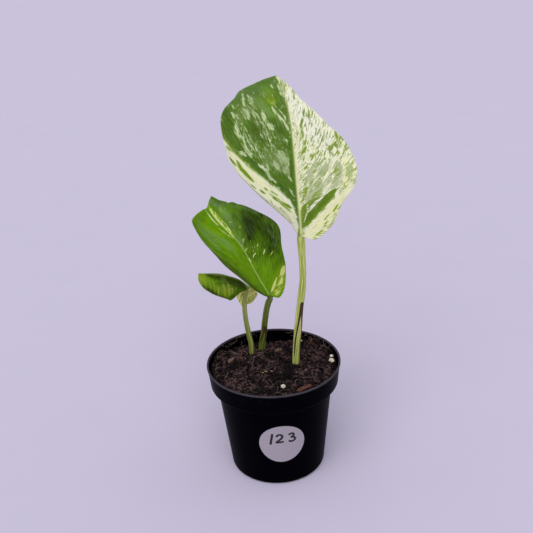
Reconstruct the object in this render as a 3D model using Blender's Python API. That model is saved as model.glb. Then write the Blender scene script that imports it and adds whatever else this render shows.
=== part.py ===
"""A potted marble queen pothos, a young rooted plant in a round nursery pot.

Sizes are in millimetres and become metres when a mesh is made. +Z is up, the front is -Y, and the
origin is the middle of the pot's underside.
"""
import math
import random

import bmesh
import bpy
import numpy as np
from mathutils import Matrix, Vector, noise

MM = 0.001
GAP = 0.3

# Pot, a thin turned shell: a tapered body under a wider collar with a small round lip
POT_HEIGHT = 78.0
RIM_RADIUS = 45.0
LIP_HEIGHT = 1.5
LIP_WIDTH = 1.2
COLLAR_FOOT_Z = 64.0
COLLAR_FOOT_RADIUS = 43.2
BODY_TOP_Z = 60.0
BODY_TOP_RADIUS = 38.6
BODY_FOOT_RADIUS = 32.1
BODY_CORNER = 3.0
SHOULDER_BEND = (0.7, 0.9)
COLLAR_BEND = (1.4, 1.6)
LIP_STEP = 0.5
LIP_ROUND = 0.4
POT_WALL = 1.0
POT_FLOOR = 1.4
FLOOR_CORNER = 2.0
POT_SIDES = 56
ARC_STEPS = 3
DRAIN_COUNT = 8
DRAIN_RADIUS = 3.0
DRAIN_RING = 21.0
DRAIN_SIDES = 12

# Label, a round paper disc wrapped on the front of the body
LABEL_RADIUS = 15.2
LABEL_Z = 35.5
LABEL_TURN = 0.076
LABEL_THICK = 0.3
LABEL_LIFT = 0.2
LABEL_COLUMNS = 20
LABEL_REACH = 0.992

# Soil: its level, and its mounds and hollows as x, y, rise and spread
SOIL_LEVEL = 69.3
SOIL_LUMPS = (
    (-10.0, 13.0, 3.0, 9.0),
    (34.0, 24.0, 5.2, 12.0),
    (31.0, 32.0, 2.5, 7.0),
    (21.0, 37.5, 3.6, 7.0),
    (41.0, 6.0, 4.6, 9.0),
    (3.0, 24.0, 1.6, 6.0),
    (15.0, 3.0, 1.2, 7.0),
    (-38.0, 16.0, 6.0, 13.0),
    (-41.0, -5.0, 4.5, 11.0),
    (-20.0, -22.0, 1.0, 10.0),
    (7.0, -10.0, -2.4, 7.0),
    (0.0, 17.0, -2.2, 4.5),
    (16.0, -17.0, -1.4, 6.0),
)
SOIL_GRAIN = 7.0
SOIL_ROUGH = 0.8
SOIL_NOISE_PLANE = 11.0
SOIL_RINGS = 12
SOIL_RING_CROWDING = 0.9

# Buried stems: a route and a radius, and each root as a start, an end and a sag
STEM_RADIUS = 3.4
STEM_RINGS = 9
STEM_SIDES = 10
STEMS = {
    "stem_front": ((14.8, 8.0, 61.45), (14.6, 8.6, 54.0), (13.2, 7.4, 45.0), (12.4, 5.6, 34.0)),
    "stem_back": ((-5.6, 31.0, 59.2), (-11.0, 28.6, 58.4), (-15.4, 25.4, 54.0), (-15.6, 22.6, 44.0),
                  (-13.8, 20.6, 32.0)),
}
ROOT_RADIUS = 1.0
ROOT_TAPER = 0.45
ROOT_RINGS = 6
ROOT_SIDES = 6
ROOT_SINK = 1.5
ROOT_ROOM = 0.45
HOLE_SINK = 3.0
HOLE_SIDES = 12
CAP_REACH = 0.5
ROOTS = {
    "stem_front": (
        ((14.6, 8.6, 52.0), (28.0, 2.0, 33.0), 4.0),
        ((13.4, 7.6, 46.0), (4.0, -14.0, 28.0), 4.0),
        ((12.6, 6.2, 38.0), (20.0, 12.0, 15.0), 2.0),
    ),
    "stem_back": (
        ((-15.6, 23.6, 49.0), (-30.0, 8.0, 34.0), 4.0),
        ((-15.2, 22.2, 42.0), (-4.0, 8.0, 22.0), 3.0),
        ((-14.2, 21.0, 35.0), (-20.0, 12.0, 12.0), 2.0),
    ),
}

# Petioles: centre line up from below the soil, as x, y, z and radius, and a seat, which is where
# the last ring's centre lies from its blade's base, ahead, to the right and above, and its radius
PETIOLE_SIDES = 14
PETIOLE_RINGS = 20
GROOVE_DEPTH = 0.22
GROOVE_HALF_ANGLE = 0.55
SHEATH_RISE = 0.16
SHEATH_HALF_ANGLE = 0.30
SHEATH_ANGLE = 1.05
SHEATH_FADE = 12.0
PETIOLES = {
    "petiole_large": dict(
        route=((14.7, 7.9, 65.4, 2.1), (15.0, 8.0, 69.7, 2.2), (16.2, 8.5, 84.6, 2.35),
               (17.9, 9.0, 98.8, 2.5), (19.6, 9.5, 112.8, 2.4), (21.2, 10.0, 123.7, 2.4),
               (22.2, 10.5, 133.2, 2.2), (22.2, 11.3, 148.0, 2.3)),
        blade="blade_large", seat=(-2.1, 0.0, -1.0, 2.5),
        groove_to=(-0.25, -1.0, 0.0), sheath_top=117.0),
    "petiole_medium": dict(
        route=((-8.6, 30.2, 64.2, 2.1), (-7.8, 30.0, 70.8, 2.5), (-6.9, 29.5, 77.5, 2.4),
               (-5.7, 28.8, 83.4, 2.2), (-4.6, 27.6, 92.5, 2.1), (-2.7, 26.5, 103.5, 2.1),
               (-1.2, 25.9, 109.0, 2.1)),
        blade="blade_medium", seat=(-1.9, -0.2, -0.9, 1.9),
        groove_to=(-0.4, -1.0, 0.0), sheath_top=90.0),
    "petiole_small": dict(
        route=((-14.9, 25.9, 61.2, 1.7), (-14.8, 26.0, 70.3, 1.8), (-15.1, 26.3, 77.4, 1.8),
               (-16.4, 26.8, 85.2, 1.8), (-17.7, 27.5, 95.9, 1.7), (-18.0, 28.6, 105.6, 1.65),
               (-17.7, 29.0, 109.8, 1.6)),
        blade="blade_small", seat=(-1.2, -0.6, -3.0, 1.45),
        groove_to=(-0.6, -1.0, 0.0), sheath_top=84.0),
}

# Blades, each described below by its midrib in space and the outline of its two halves
BLADE_THICK = 0.7
BLADE_COLUMNS = (0.0, 0.04, 0.1, 0.22, 0.38, 0.54, 0.68, 0.8, 0.9, 1.0)
VEIN_START = 0.55
ROLL_EASE = 1.5
TANGENT_REACH = 1.5
RIDGE_DEPTH = 1.2
RIDGE_WIDTH = 1.5
RIDGE_TAPER = 0.7
BLADES = {
    "blade_large": dict(
        midrib=((21.9, 12.0, 161.9), (21.6, 14.0, 175.6), (20.7, 19.5, 197.3), (20.1, 26.5, 215.0),
                (19.0, 36.5, 232.0), (16.4, 52.0, 244.2), (11.9, 75.0, 253.5)),
        facing=(0.0, -0.85, 0.5), rows=27, vein_bunch=1.9, roll_from=0.88,
        left=dict(
            outline=((0.0, 0.9), (6.0, 5.9), (16.1, 10.7), (23.4, 21.0), (34.0, 33.9), (47.2, 45.3),
                     (58.8, 46.9), (73.7, 46.4), (85.8, 41.5), (96.7, 33.3), (110.5, 26.3),
                     (118.8, 10.8)),
            fold=(46, 34, 14, 4), bend=(0, -6, -6, -4), roll=(30, 34, 12, 0), wave=(0.8, 3.0, 0.5)),
        right=dict(
            outline=((0.0, 0.9), (-2.6, 9.4), (7.3, 21.5), (19.7, 28.3), (28.8, 35.9), (40.6, 38.8),
                     (58.4, 31.8), (68.5, 22.2), (85.3, 10.8), (105.1, 4.5)),
            fold=(12, 12, 20, 26), bend=(-6, -8, -12, -12), roll=(0, 0, 0, 0), wave=(0.9, 3.2, 1.2))),
    "blade_medium": dict(
        midrib=((-0.3, 25.0, 113.9), (-8.0, 26.0, 129.7), (-18.9, 30.5, 151.9), (-33.0, 40.0, 165.3),
                (-37.9, 47.5, 171.2), (-38.3, 54.0, 173.9), (-36.9, 61.0, 175.8)),
        facing=(0.25, -0.85, 0.5), rows=27, vein_bunch=1.7, roll_from=0.5,
        left=dict(
            outline=((0.0, 0.9), (3.9, 6.5), (14.6, 14.9), (29.7, 22.8), (43.9, 29.0), (55.0, 25.9),
                     (63.5, 22.3), (68.5, 19.5), (71.6, 12.9), (74.6, 5.8), (76.8, 1.6)),
            fold=(50, 34, 16, 10), bend=(0, -6, -6, -4), roll=(60, 95, 80, 0), wave=(0.5, 3.0, 0.5)),
        right=dict(
            outline=((0.0, 0.9), (-4.8, 5.0), (-1.7, 11.6), (11.0, 19.9), (27.3, 24.0), (38.9, 29.0),
                     (49.7, 23.7), (61.4, 19.4), (72.4, 16.4), (82.1, 16.7), (88.1, 12.4),
                     (87.9, 5.7)),
            fold=(6, 14, 16, 20), bend=(-4, -10, -16, -10), roll=(0, 0, 0, 0), wave=(0.6, 3.2, 1.2))),
    "blade_small": dict(
        midrib=((-14.3, 30.0, 118.2), (-18.8, 28.0, 125.0), (-27.0, 25.5, 130.0), (-36.8, 22.0, 133.7),
                (-46.7, 16.0, 137.2)),
        facing=(0.1, -0.35, 1.0), rows=18, vein_bunch=1.5, roll_from=0.7,
        left=dict(
            outline=((0.0, 0.8), (1.9, 8.4), (1.2, 15.2), (9.3, 16.6), (19.6, 15.4), (29.2, 13.7),
                     (36.7, 10.0), (41.5, 3.8)),
            fold=(-50, -40, -34, -30), bend=(-36, -50, -50, -30), roll=(0, 0, 0, 0),
            wave=(0.4, 3.0, 0.5)),
        right=dict(
            outline=((0.0, 0.8), (-7.9, 4.0), (-15.5, 9.6), (-19.0, 15.5), (-8.2, 16.4), (8.0, 14.2),
                     (23.8, 10.7), (33.5, 6.2), (39.6, 2.3)),
            fold=(49, -43, -29, -25), bend=(5, -73, -40, -19), roll=(0, 0, 0, 0),
            wave=(0.9, 4.2, 1.2))),
}

# Loose bits on the soil: x, y, length, width, thickness, turn and tilt in degrees
PERLITE = (
    (39.7, 6.4, 2.6, 2.2, 1.9, 20, 0),
    (39.3, 1.2, 4.4, 3.0, 2.8, -50, 10),
    (5.3, -22.0, 3.3, 2.8, 2.4, 10, 0),
    (20.6, 32.0, 2.2, 1.8, 1.6, 60, 0),
)
BARK = (
    (18.8, -24.5, 10.0, 3.8, 1.6, 28, 8),
    (27.2, 25.4, 5.2, 2.0, 1.3, 10, 76),
    (3.3, 23.0, 6.5, 3.0, 1.5, -35, 20),
    (-29.0, 9.5, 5.0, 3.0, 1.5, 40, 12),
)
SPLINTER = (-4.4, -1.5, 7.4, 1.5, 1.1, 3, 4)
GRAIN_ROUGH = (0.86, 1.10)

PATH_STEPS = 24
SHARP_ANGLE = 40.0
WELD = 1e-4

LEAF_GREEN = (0.10, 0.26, 0.03)
LEAF_DARK = (0.04, 0.13, 0.02)
PETIOLE_GREEN = (0.36, 0.46, 0.10)
STEM_GREEN = (0.22, 0.28, 0.07)
POT_BLACK = (0.006, 0.006, 0.008)
SOIL_BROWN = (0.018, 0.012, 0.009)
PAPER_WHITE = (0.72, 0.70, 0.74)
PERLITE_WHITE = (0.78, 0.75, 0.68)
BARK_BROWN = (0.20, 0.07, 0.03)
WOOD_TAN = (0.42, 0.30, 0.17)


def clear_scene():
    for item in list(bpy.data.objects):
        bpy.data.objects.remove(item, do_unlink=True)


def plain_material(name, colour, roughness):
    material = bpy.data.materials.new(name)
    material.use_nodes = True
    shader = material.node_tree.nodes["Principled BSDF"]
    shader.inputs["Base Color"].default_value = (*colour, 1.0)
    shader.inputs["Roughness"].default_value = roughness
    shader.inputs["Metallic"].default_value = 0.0
    return material


def add_object(name, bm, material):
    """Close a bmesh in millimetres into a named object in metres, with its faces pointing out."""
    bmesh.ops.scale(bm, vec=(MM, MM, MM), verts=bm.verts)
    bmesh.ops.recalc_face_normals(bm, faces=bm.faces)
    mesh = bpy.data.meshes.new(name)
    bm.to_mesh(mesh)
    bm.free()
    mesh.materials.append(material)
    mesh.shade_smooth()
    mesh.set_sharp_from_angle(angle=math.radians(SHARP_ANGLE))
    item = bpy.data.objects.new(name, mesh)
    bpy.context.scene.collection.objects.link(item)
    return item


def solid_from(points, faces):
    bm = bmesh.new()
    verts = [bm.verts.new(tuple(map(float, p))) for p in points]
    for face in faces:
        bm.faces.new([verts[i] for i in face])
    return bm


def smooth_path(knots):
    """A centripetal Catmull-Rom curve through the knots, as an array of close points."""
    knots = np.array(knots, float)
    ends = (2 * knots[0] - knots[1], 2 * knots[-1] - knots[-2])
    padded = np.vstack([ends[0], knots, ends[1]])
    points = []
    for i in range(1, len(padded) - 2):
        p0, p1, p2, p3 = padded[i - 1:i + 3]
        t1 = np.linalg.norm(p1 - p0) ** 0.5
        t2 = t1 + np.linalg.norm(p2 - p1) ** 0.5
        t3 = t2 + np.linalg.norm(p3 - p2) ** 0.5
        for t in np.linspace(t1, t2, PATH_STEPS, endpoint=False):
            a1 = (t1 - t) / t1 * p0 + t / t1 * p1
            a2 = (t2 - t) / (t2 - t1) * p1 + (t - t1) / (t2 - t1) * p2
            a3 = (t3 - t) / (t3 - t2) * p2 + (t - t2) / (t3 - t2) * p3
            b1 = (t2 - t) / t2 * a1 + t / t2 * a2
            b2 = (t3 - t) / (t3 - t1) * a2 + (t - t1) / (t3 - t1) * a3
            points.append((t2 - t) / (t2 - t1) * b1 + (t - t1) / (t2 - t1) * b2)
    points.append(knots[-1])
    return np.array(points)


def lengths_along(path):
    steps = np.linalg.norm(np.diff(path[:, :3], axis=0), axis=1)
    return np.concatenate([[0.0], np.cumsum(steps)])


def resample(path, count):
    along = lengths_along(path)
    wanted = np.linspace(0.0, along[-1], count)
    return read_at(path, along, wanted)


def read_at(path, along, wanted):
    columns = [np.interp(wanted, along, path[:, k]) for k in range(path.shape[1])]
    return np.stack(columns, axis=-1)


def unit(vectors):
    return vectors / np.linalg.norm(vectors, axis=-1, keepdims=True)


def cone_radius(z):
    """Outer radius of the pot's tapered body at height z."""
    share = z / BODY_TOP_Z
    return BODY_FOOT_RADIUS + share * (BODY_TOP_RADIUS - BODY_FOOT_RADIUS)


def quarter_arc(centre, radius, start):
    """Points on a quarter circle in the profile plane, from angle start, turning anticlockwise."""
    angles = [start + math.pi / 2 * k / ARC_STEPS for k in range(ARC_STEPS + 1)]
    return [(centre[0] + radius * math.cos(a), centre[1] + radius * math.sin(a)) for a in angles]


def pot_outside():
    """Radius and height of the outer profile, from the middle of the underside up to the lip."""
    corner = (cone_radius(BODY_CORNER) - BODY_CORNER, BODY_CORNER)
    foot = quarter_arc(corner, BODY_CORNER, -math.pi / 2)
    step = [(BODY_TOP_RADIUS, BODY_TOP_Z),
            (BODY_TOP_RADIUS + SHOULDER_BEND[0], BODY_TOP_Z + SHOULDER_BEND[1]),
            (COLLAR_FOOT_RADIUS - COLLAR_BEND[0], COLLAR_FOOT_Z - COLLAR_BEND[1]),
            (COLLAR_FOOT_RADIUS, COLLAR_FOOT_Z)]
    lip = [(RIM_RADIUS - LIP_STEP, POT_HEIGHT - LIP_HEIGHT),
           (RIM_RADIUS, POT_HEIGHT - LIP_HEIGHT + LIP_ROUND),
           (RIM_RADIUS, POT_HEIGHT - LIP_ROUND), (RIM_RADIUS - LIP_ROUND, POT_HEIGHT)]
    return [(0.0, 0.0)] + foot + step + lip


def pot_inside():
    """Radius and height of the inner profile, from the lip down to the middle of the floor."""
    inner_lip = RIM_RADIUS - LIP_WIDTH
    collar = COLLAR_FOOT_RADIUS - POT_WALL
    body = BODY_TOP_RADIUS - POT_WALL
    corner_z = POT_FLOOR + FLOOR_CORNER
    return [(inner_lip + LIP_ROUND, POT_HEIGHT), (inner_lip, POT_HEIGHT - LIP_ROUND),
            (collar, COLLAR_FOOT_Z + LIP_ROUND),
            (collar - COLLAR_BEND[0], COLLAR_FOOT_Z - SHOULDER_BEND[1]),
            (body + SHOULDER_BEND[0], BODY_TOP_Z + SHOULDER_BEND[1]), (body, BODY_TOP_Z),
            (cone_radius(corner_z) - POT_WALL, corner_z),
            (cone_radius(POT_FLOOR) - POT_WALL - FLOOR_CORNER, POT_FLOOR), (0.0, POT_FLOOR)]


def inner_radius_at(z):
    rings = pot_inside()
    heights = [p[1] for p in reversed(rings[:-1])]
    radii = [p[0] for p in reversed(rings[:-1])]
    return float(np.interp(z, heights, radii))


def turned(profile, sides):
    """Spin a profile of radius and height about Z into a closed bmesh."""
    bm = bmesh.new()
    verts = [bm.verts.new((r, 0.0, z)) for r, z in profile]
    edges = [bm.edges.new(pair) for pair in zip(verts, verts[1:])]
    bmesh.ops.spin(bm, geom=verts + edges, axis=(0, 0, 1), cent=(0, 0, 0), steps=sides,
                   angle=2 * math.pi, use_merge=True)
    bmesh.ops.remove_doubles(bm, verts=bm.verts, dist=WELD)
    return bm


def cut_away(item, cutter):
    """Take the cutter's space out of an object, and keep the cutter as a hidden guide."""
    cutter.hide_render = True
    cutter.display_type = "WIRE"
    boolean = item.modifiers.new(cutter.name, "BOOLEAN")
    boolean.operation = "DIFFERENCE"
    boolean.solver = "EXACT"
    boolean.use_self = True
    boolean.object = cutter


def make_pot():
    pot = add_object("pot", turned(pot_outside() + pot_inside(), POT_SIDES),
                     plain_material("black_plastic", POT_BLACK, 0.45))
    bm = bmesh.new()
    for k in range(DRAIN_COUNT):
        angle = 2 * math.pi * (k + 0.5) / DRAIN_COUNT
        centre = Vector((DRAIN_RING * math.cos(angle), DRAIN_RING * math.sin(angle), POT_FLOOR / 2))
        bmesh.ops.create_cone(bm, cap_ends=True, segments=DRAIN_SIDES, radius1=DRAIN_RADIUS,
                              radius2=DRAIN_RADIUS, depth=POT_FLOOR * 4,
                              matrix=Matrix.Translation(centre))
    drains = add_object("drain_cutter", bm, plain_material("guide", (1, 0, 0), 1.0))
    cut_away(pot, drains)


def make_label():
    """A curved disc in vertical strips, whose inner face stays just clear of the wall.

    Its two ends stop a little short of the full radius, so that they have an edge.
    """
    slant = math.hypot(BODY_TOP_Z, BODY_TOP_RADIUS - BODY_FOOT_RADIUS)
    rise = BODY_TOP_Z / slant
    points = []
    for k in range(LABEL_COLUMNS + 1):
        across = -LABEL_REACH * LABEL_RADIUS * math.cos(math.pi * k / LABEL_COLUMNS)
        half = math.sqrt(LABEL_RADIUS ** 2 - across ** 2)
        angle = LABEL_TURN + across / cone_radius(LABEL_Z)
        for along in (-half, half):
            z = LABEL_Z + along * rise
            for lift in (LABEL_LIFT, LABEL_LIFT + LABEL_THICK):
                r = cone_radius(z) + lift
                points.append((r * math.sin(angle), -r * math.cos(angle), z))
    faces = [(0, 2, 3, 1)]
    for k in range(LABEL_COLUMNS):
        a, b = 4 * k, 4 * k + 4
        faces += [(a, b, b + 2, a + 2), (a + 1, a + 3, b + 3, b + 1)]
        faces += [(a, a + 1, b + 1, b), (a + 2, b + 2, b + 3, a + 3)]
    last = 4 * LABEL_COLUMNS
    faces.append((last, last + 1, last + 3, last + 2))
    add_object("label", solid_from(points, faces), plain_material("paper", PAPER_WHITE, 0.8))


def soil_height(x, y):
    """Height of the soil's surface: its level, mounds and hollows, and a fine roughness."""
    z = SOIL_LEVEL
    for cx, cy, rise, spread in SOIL_LUMPS:
        z += rise * math.exp(-((x - cx) ** 2 + (y - cy) ** 2) / spread ** 2)
    return z + SOIL_ROUGH * noise.noise(Vector((x, y, SOIL_NOISE_PLANE)) / SOIL_GRAIN)


def soil_wall():
    """Radius and height of the soil's side, in and up from the pot's inner profile by the gap."""
    below_lip = pot_inside()[2:-1]
    return [(radius - GAP, z + GAP) for radius, z in below_lip]


def soil_shape():
    """The soil from its middle, over rings across the top and down inside the pot, as a solid."""
    top_radius = inner_radius_at(SOIL_LEVEL) - GAP
    points = [(0.0, 0.0, soil_height(0.0, 0.0))]
    for ring in range(1, SOIL_RINGS + 1):
        for side in range(POT_SIDES):
            angle = 2 * math.pi * side / POT_SIDES
            radius = top_radius * (ring / SOIL_RINGS) ** SOIL_RING_CROWDING
            x, y = radius * math.cos(angle), radius * math.sin(angle)
            points.append((x, y, soil_height(x, y)))
    wall = soil_wall()
    for radius, z in wall:
        for side in range(POT_SIDES):
            angle = 2 * math.pi * side / POT_SIDES
            points.append((radius * math.cos(angle), radius * math.sin(angle), z))
    points.append((0.0, 0.0, POT_FLOOR + GAP))
    return points, capped_rings(SOIL_RINGS + len(wall), POT_SIDES)


def capped_rings(ring_count, sides):
    """Faces over rings of points that have one point before them and one after."""
    faces = []
    for side in range(sides):
        here, there = side, (side + 1) % sides
        faces.append((0, 1 + here, 1 + there))
        for ring in range(ring_count - 1):
            a, b = 1 + ring * sides, 1 + (ring + 1) * sides
            faces.append((a + here, b + here, b + there))
            faces.append((a + here, b + there, a + there))
        last = 1 + (ring_count - 1) * sides
        faces.append((last + there, last + here, last + sides))
    return faces


def tube(route, sides, shape=None):
    """A round-ended tube along points of x, y, z and radius, as points and faces.

    shape(height, angle) may scale the radius, where the angle is measured from -Y.
    """
    centres, radii = route[:, :3], route[:, 3]
    along = unit(np.gradient(centres, axis=0))
    front = np.array((0.0, -1.0, 0.0))
    points = []
    for centre, radius, ahead in zip(centres, radii, along):
        aim = unit(front - front.dot(ahead) * ahead)
        side = np.cross(ahead, aim)
        for k in range(sides):
            angle = 2 * math.pi * k / sides
            scale = shape(centre[2], angle) if shape else 1.0
            points.append(centre + radius * scale * (math.cos(angle) * aim + math.sin(angle) * side))
    start = centres[0] - CAP_REACH * radii[0] * along[0]
    end = centres[-1] + CAP_REACH * radii[-1] * along[-1]
    points = [start] + points + [end]
    return points, capped_rings(len(centres), sides)


def rounded_ends(route):
    """Add shrinking rings to both ends of a route so that the tube ends in domes."""
    first, last = route[0], route[-1]
    ahead = unit(route[1, :3] - route[0, :3])
    behind = unit(route[-1, :3] - route[-2, :3])
    head, tail = [], []
    for k in range(1, ARC_STEPS):
        turn = math.pi / 2 * k / ARC_STEPS
        reach, shrink = CAP_REACH * math.sin(turn), math.cos(turn)
        head.insert(0, [*(first[:3] - ahead * first[3] * reach), first[3] * shrink])
        tail.append([*(last[:3] + behind * last[3] * reach), last[3] * shrink])
    return np.vstack([head, route, tail])


def petiole_shape(groove_to, sheath_top):
    """A scale for the radius: a groove towards one side, with two raised edges on the sheath."""
    groove_at = math.atan2(groove_to[0], -groove_to[1])

    def scale(z, angle):
        away = abs((angle - groove_at + math.pi) % (2 * math.pi) - math.pi)
        sheath = max(0.0, min(1.0, (sheath_top - z) / SHEATH_FADE))
        value = 1.0 - GROOVE_DEPTH * math.exp(-(away / GROOVE_HALF_ANGLE) ** 2)
        value += sheath * SHEATH_RISE * math.exp(-((away - SHEATH_ANGLE) / SHEATH_HALF_ANGLE) ** 2)
        return value

    return scale


def petiole_route(spec):
    """The petiole's centre line, up to its seat behind the base of its blade."""
    blade = BLADES[spec["blade"]]
    midrib = smooth_path(blade["midrib"])
    base, ahead, above, right = blade_frame(midrib, lengths_along(midrib), np.array(blade["facing"]),
                                            np.array(0.0))
    forward, across, over, radius = spec["seat"]
    seat = base + forward * ahead + across * right + over * above
    return resample(smooth_path([*spec["route"], (*seat, radius)]), PETIOLE_RINGS)


def make_petioles():
    material = plain_material("petiole_green", PETIOLE_GREEN, 0.4)
    for name, spec in PETIOLES.items():
        route = rounded_ends(petiole_route(spec))
        points, faces = tube(route, PETIOLE_SIDES, petiole_shape(spec["groove_to"], spec["sheath_top"]))
        add_object(name, solid_from(points, faces), material)


def root_route(root):
    """A root's points from inside the stem outwards, sagging between its two ends."""
    start, end, sag = np.array(root[0]), np.array(root[1]), root[2]
    outwards = unit(end - start)
    share = np.linspace(0.0, 1.0, ROOT_RINGS)[:, None]
    points = start - ROOT_SINK * outwards + share * (end - start)
    points[:, 2] += sag * np.sin(math.pi * share[:, 0])
    radius = ROOT_RADIUS * (1.0 - ROOT_TAPER * share)
    return np.hstack([points, radius])


def stem_pieces(name, extra):
    """The tubes of one buried stem and its roots, all fatter by extra."""
    path = resample(smooth_path(STEMS[name]), STEM_RINGS)
    radius = np.full((len(path), 1), STEM_RADIUS + extra)
    pieces = [tube(rounded_ends(np.hstack([path, radius])), STEM_SIDES)]
    for root in ROOTS[name]:
        route = root_route(root)
        route[:, 3] += extra
        pieces.append(tube(route, ROOT_SIDES))
    return pieces


def join_pieces(name, pieces, material):
    """One object from overlapping tubes, by a Boolean union that is applied."""
    group = bpy.data.collections.new(name + "_pieces")
    bpy.context.scene.collection.children.link(group)
    items = [add_object(name, solid_from(*piece), material) for piece in pieces]
    base = items[0]
    for item in items[1:]:
        bpy.context.scene.collection.objects.unlink(item)
        group.objects.link(item)
    union = base.modifiers.new("union", "BOOLEAN")
    union.operation = "UNION"
    union.operand_type = "COLLECTION"
    union.solver = "EXACT"
    union.collection = group
    bpy.context.view_layer.objects.active = base
    with bpy.context.temp_override(object=base, active_object=base):
        bpy.ops.object.modifier_apply(modifier=union.name)
    for item in items[1:]:
        bpy.data.objects.remove(item, do_unlink=True)
    bpy.data.collections.remove(group)
    base.name = name
    return base


def make_stems():
    material = plain_material("stem_green", STEM_GREEN, 0.6)
    for name in STEMS:
        join_pieces(name, stem_pieces(name, 0.0), material)


def make_soil():
    """The soil, with plain holes for the petioles and a space that the stems and roots fill."""
    soil = add_object("soil", solid_from(*soil_shape()), plain_material("peat", SOIL_BROWN, 0.95))
    pieces = []
    for name in STEMS:
        pieces += stem_pieces(name, ROOT_ROOM)
    for spec in PETIOLES.values():
        foot, surface, above = np.array(spec["route"][:3])
        hole_radius = max(foot[3], surface[3], above[3]) * (1.0 + SHEATH_RISE) + GAP
        foot[2] -= HOLE_SINK
        hole = smooth_path((foot[:3], surface[:3], above[:3]))[::PATH_STEPS // 2]
        radius = np.full((len(hole), 1), hole_radius)
        pieces.append(tube(np.hstack([hole, radius]), HOLE_SIDES))
    cutter = join_pieces("root_cutter", pieces, plain_material("guide", (1, 0, 0), 1.0))
    cut_away(soil, cutter)


def spread_along(share, values):
    """A value for each share of the way from base to tip, from values at even stations."""
    return np.interp(share, np.linspace(0.0, 1.0, len(values)), values)


def blade_frame(midrib, along, facing, s):
    """Place, direction, upper face and right-hand side of the blade at distance s on its midrib."""
    end = along[-1]
    inside = np.clip(s, 0.0, end)
    place = read_at(midrib, along, inside)
    ahead = read_at(midrib, along, np.clip(inside + TANGENT_REACH, 0.0, end))
    behind = read_at(midrib, along, np.clip(inside - TANGENT_REACH, 0.0, end))
    tangent = unit(ahead - behind)
    place = place + (s - inside)[..., None] * tangent
    face = unit(facing - (tangent * facing).sum(axis=-1, keepdims=True) * tangent)
    return place, tangent, face, np.cross(tangent, face)


def blade_half(spec, half, sign):
    """Middle surface of one half: rows run like the side veins, columns from midrib to margin."""
    midrib = smooth_path(spec["midrib"])
    along = lengths_along(midrib)
    tip = (along[-1], 0.0)
    margin = resample(smooth_path(half["outline"] + (tip,)), spec["rows"])
    row = np.linspace(0.0, 1.0, spec["rows"])[:, None]
    column = np.array(BLADE_COLUMNS)[None, :]
    start = along[-1] * row ** spec["vein_bunch"]
    s = start + (margin[:, :1] - start) * (VEIN_START * column + (1 - VEIN_START) * column ** 2)
    t = margin[:, 1:] * column
    rolled = np.clip((column - spec["roll_from"]) / (1 - spec["roll_from"]), 0.0, 1.0) ** ROLL_EASE
    slope = (spread_along(row, half["fold"]) + spread_along(row, half["bend"]) * column
             + spread_along(row, half["roll"]) * rolled)
    slope = np.radians((slope[:, 1:] + slope[:, :-1]) / 2)
    step = np.diff(t, axis=1)
    nothing = np.zeros((spec["rows"], 1))
    out = np.hstack([nothing, np.cumsum(np.cos(slope) * step, axis=1)])
    up = np.hstack([nothing, np.cumsum(np.sin(slope) * step, axis=1)])
    height, waves, phase = half["wave"]
    ripple = np.sin(2 * math.pi * waves * row + phase) * np.sqrt(np.sin(math.pi * np.clip(row, 0, 1)))
    up = up + height * column ** 2 * ripple
    place, _, face, side = blade_frame(midrib, along, np.array(spec["facing"]), s)
    surface = place + sign * out[..., None] * side + up[..., None] * face
    taper = (1 - s / along[-1]).clip(0, 1) ** RIDGE_TAPER
    ridge = RIDGE_DEPTH * taper * np.exp(-(t / RIDGE_WIDTH) ** 2)
    return surface, ridge


def blade_solid(spec):
    """Points and faces of a blade: two skins split alike, joined round the margin."""
    left, left_ridge = blade_half(spec, spec["left"], -1.0)
    right, right_ridge = blade_half(spec, spec["right"], 1.0)
    middle = np.concatenate([left[:, :0:-1], right], axis=1)
    ridge = np.concatenate([left_ridge[:, :0:-1], right_ridge], axis=1)
    normal = np.cross(np.gradient(middle, axis=0), np.gradient(middle, axis=1))
    normal = -unit(normal[:-1] + 1e-12)
    centre = len(BLADE_COLUMNS) - 1
    middle_rows, ridge = middle[:-1], ridge[:-1]
    upper = middle_rows + normal * BLADE_THICK / 2
    lower = middle_rows - normal * (BLADE_THICK / 2 + ridge[..., None])
    tip, tip_normal = middle[-1, centre], normal[-1, centre]
    rows, columns = upper.shape[:2]
    points = [*upper.reshape(-1, 3), *lower.reshape(-1, 3),
              tip + tip_normal * BLADE_THICK / 2, tip - tip_normal * BLADE_THICK / 2]
    under = rows * columns
    tip_top, tip_under = 2 * under, 2 * under + 1
    faces = []
    for r in range(rows - 1):
        for c in range(columns - 1):
            a, b = r * columns + c, (r + 1) * columns + c
            for first, second, third in ((a, b + 1, a + 1), (a, b, b + 1)):
                faces.append((first, second, third))
                faces.append((under + first, under + third, under + second))
    last = (rows - 1) * columns
    for c in range(columns - 1):
        faces.append((last + c, tip_top, last + c + 1))
        faces.append((under + last + c, under + last + c + 1, tip_under))
        faces.append((c, c + 1, under + c + 1))
        faces.append((c, under + c + 1, under + c))
    for r in range(rows - 1):
        for edge, turn in ((0, 1), (columns - 1, -1)):
            a, b = r * columns + edge, (r + 1) * columns + edge
            for face in ((a, under + a, under + b), (a, under + b, b)):
                faces.append(face[::turn])
    for edge, turn in ((0, 1), (columns - 1, -1)):
        a = last + edge
        for face in ((a, under + a, tip_under), (a, tip_under, tip_top)):
            faces.append(face[::turn])
    return points, faces


def make_blades():
    colours = {"blade_large": LEAF_GREEN, "blade_medium": LEAF_GREEN, "blade_small": LEAF_DARK}
    for name, spec in BLADES.items():
        material = plain_material(name + "_green", colours[name], 0.35)
        add_object(name, solid_from(*blade_solid(spec)), material)


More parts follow.
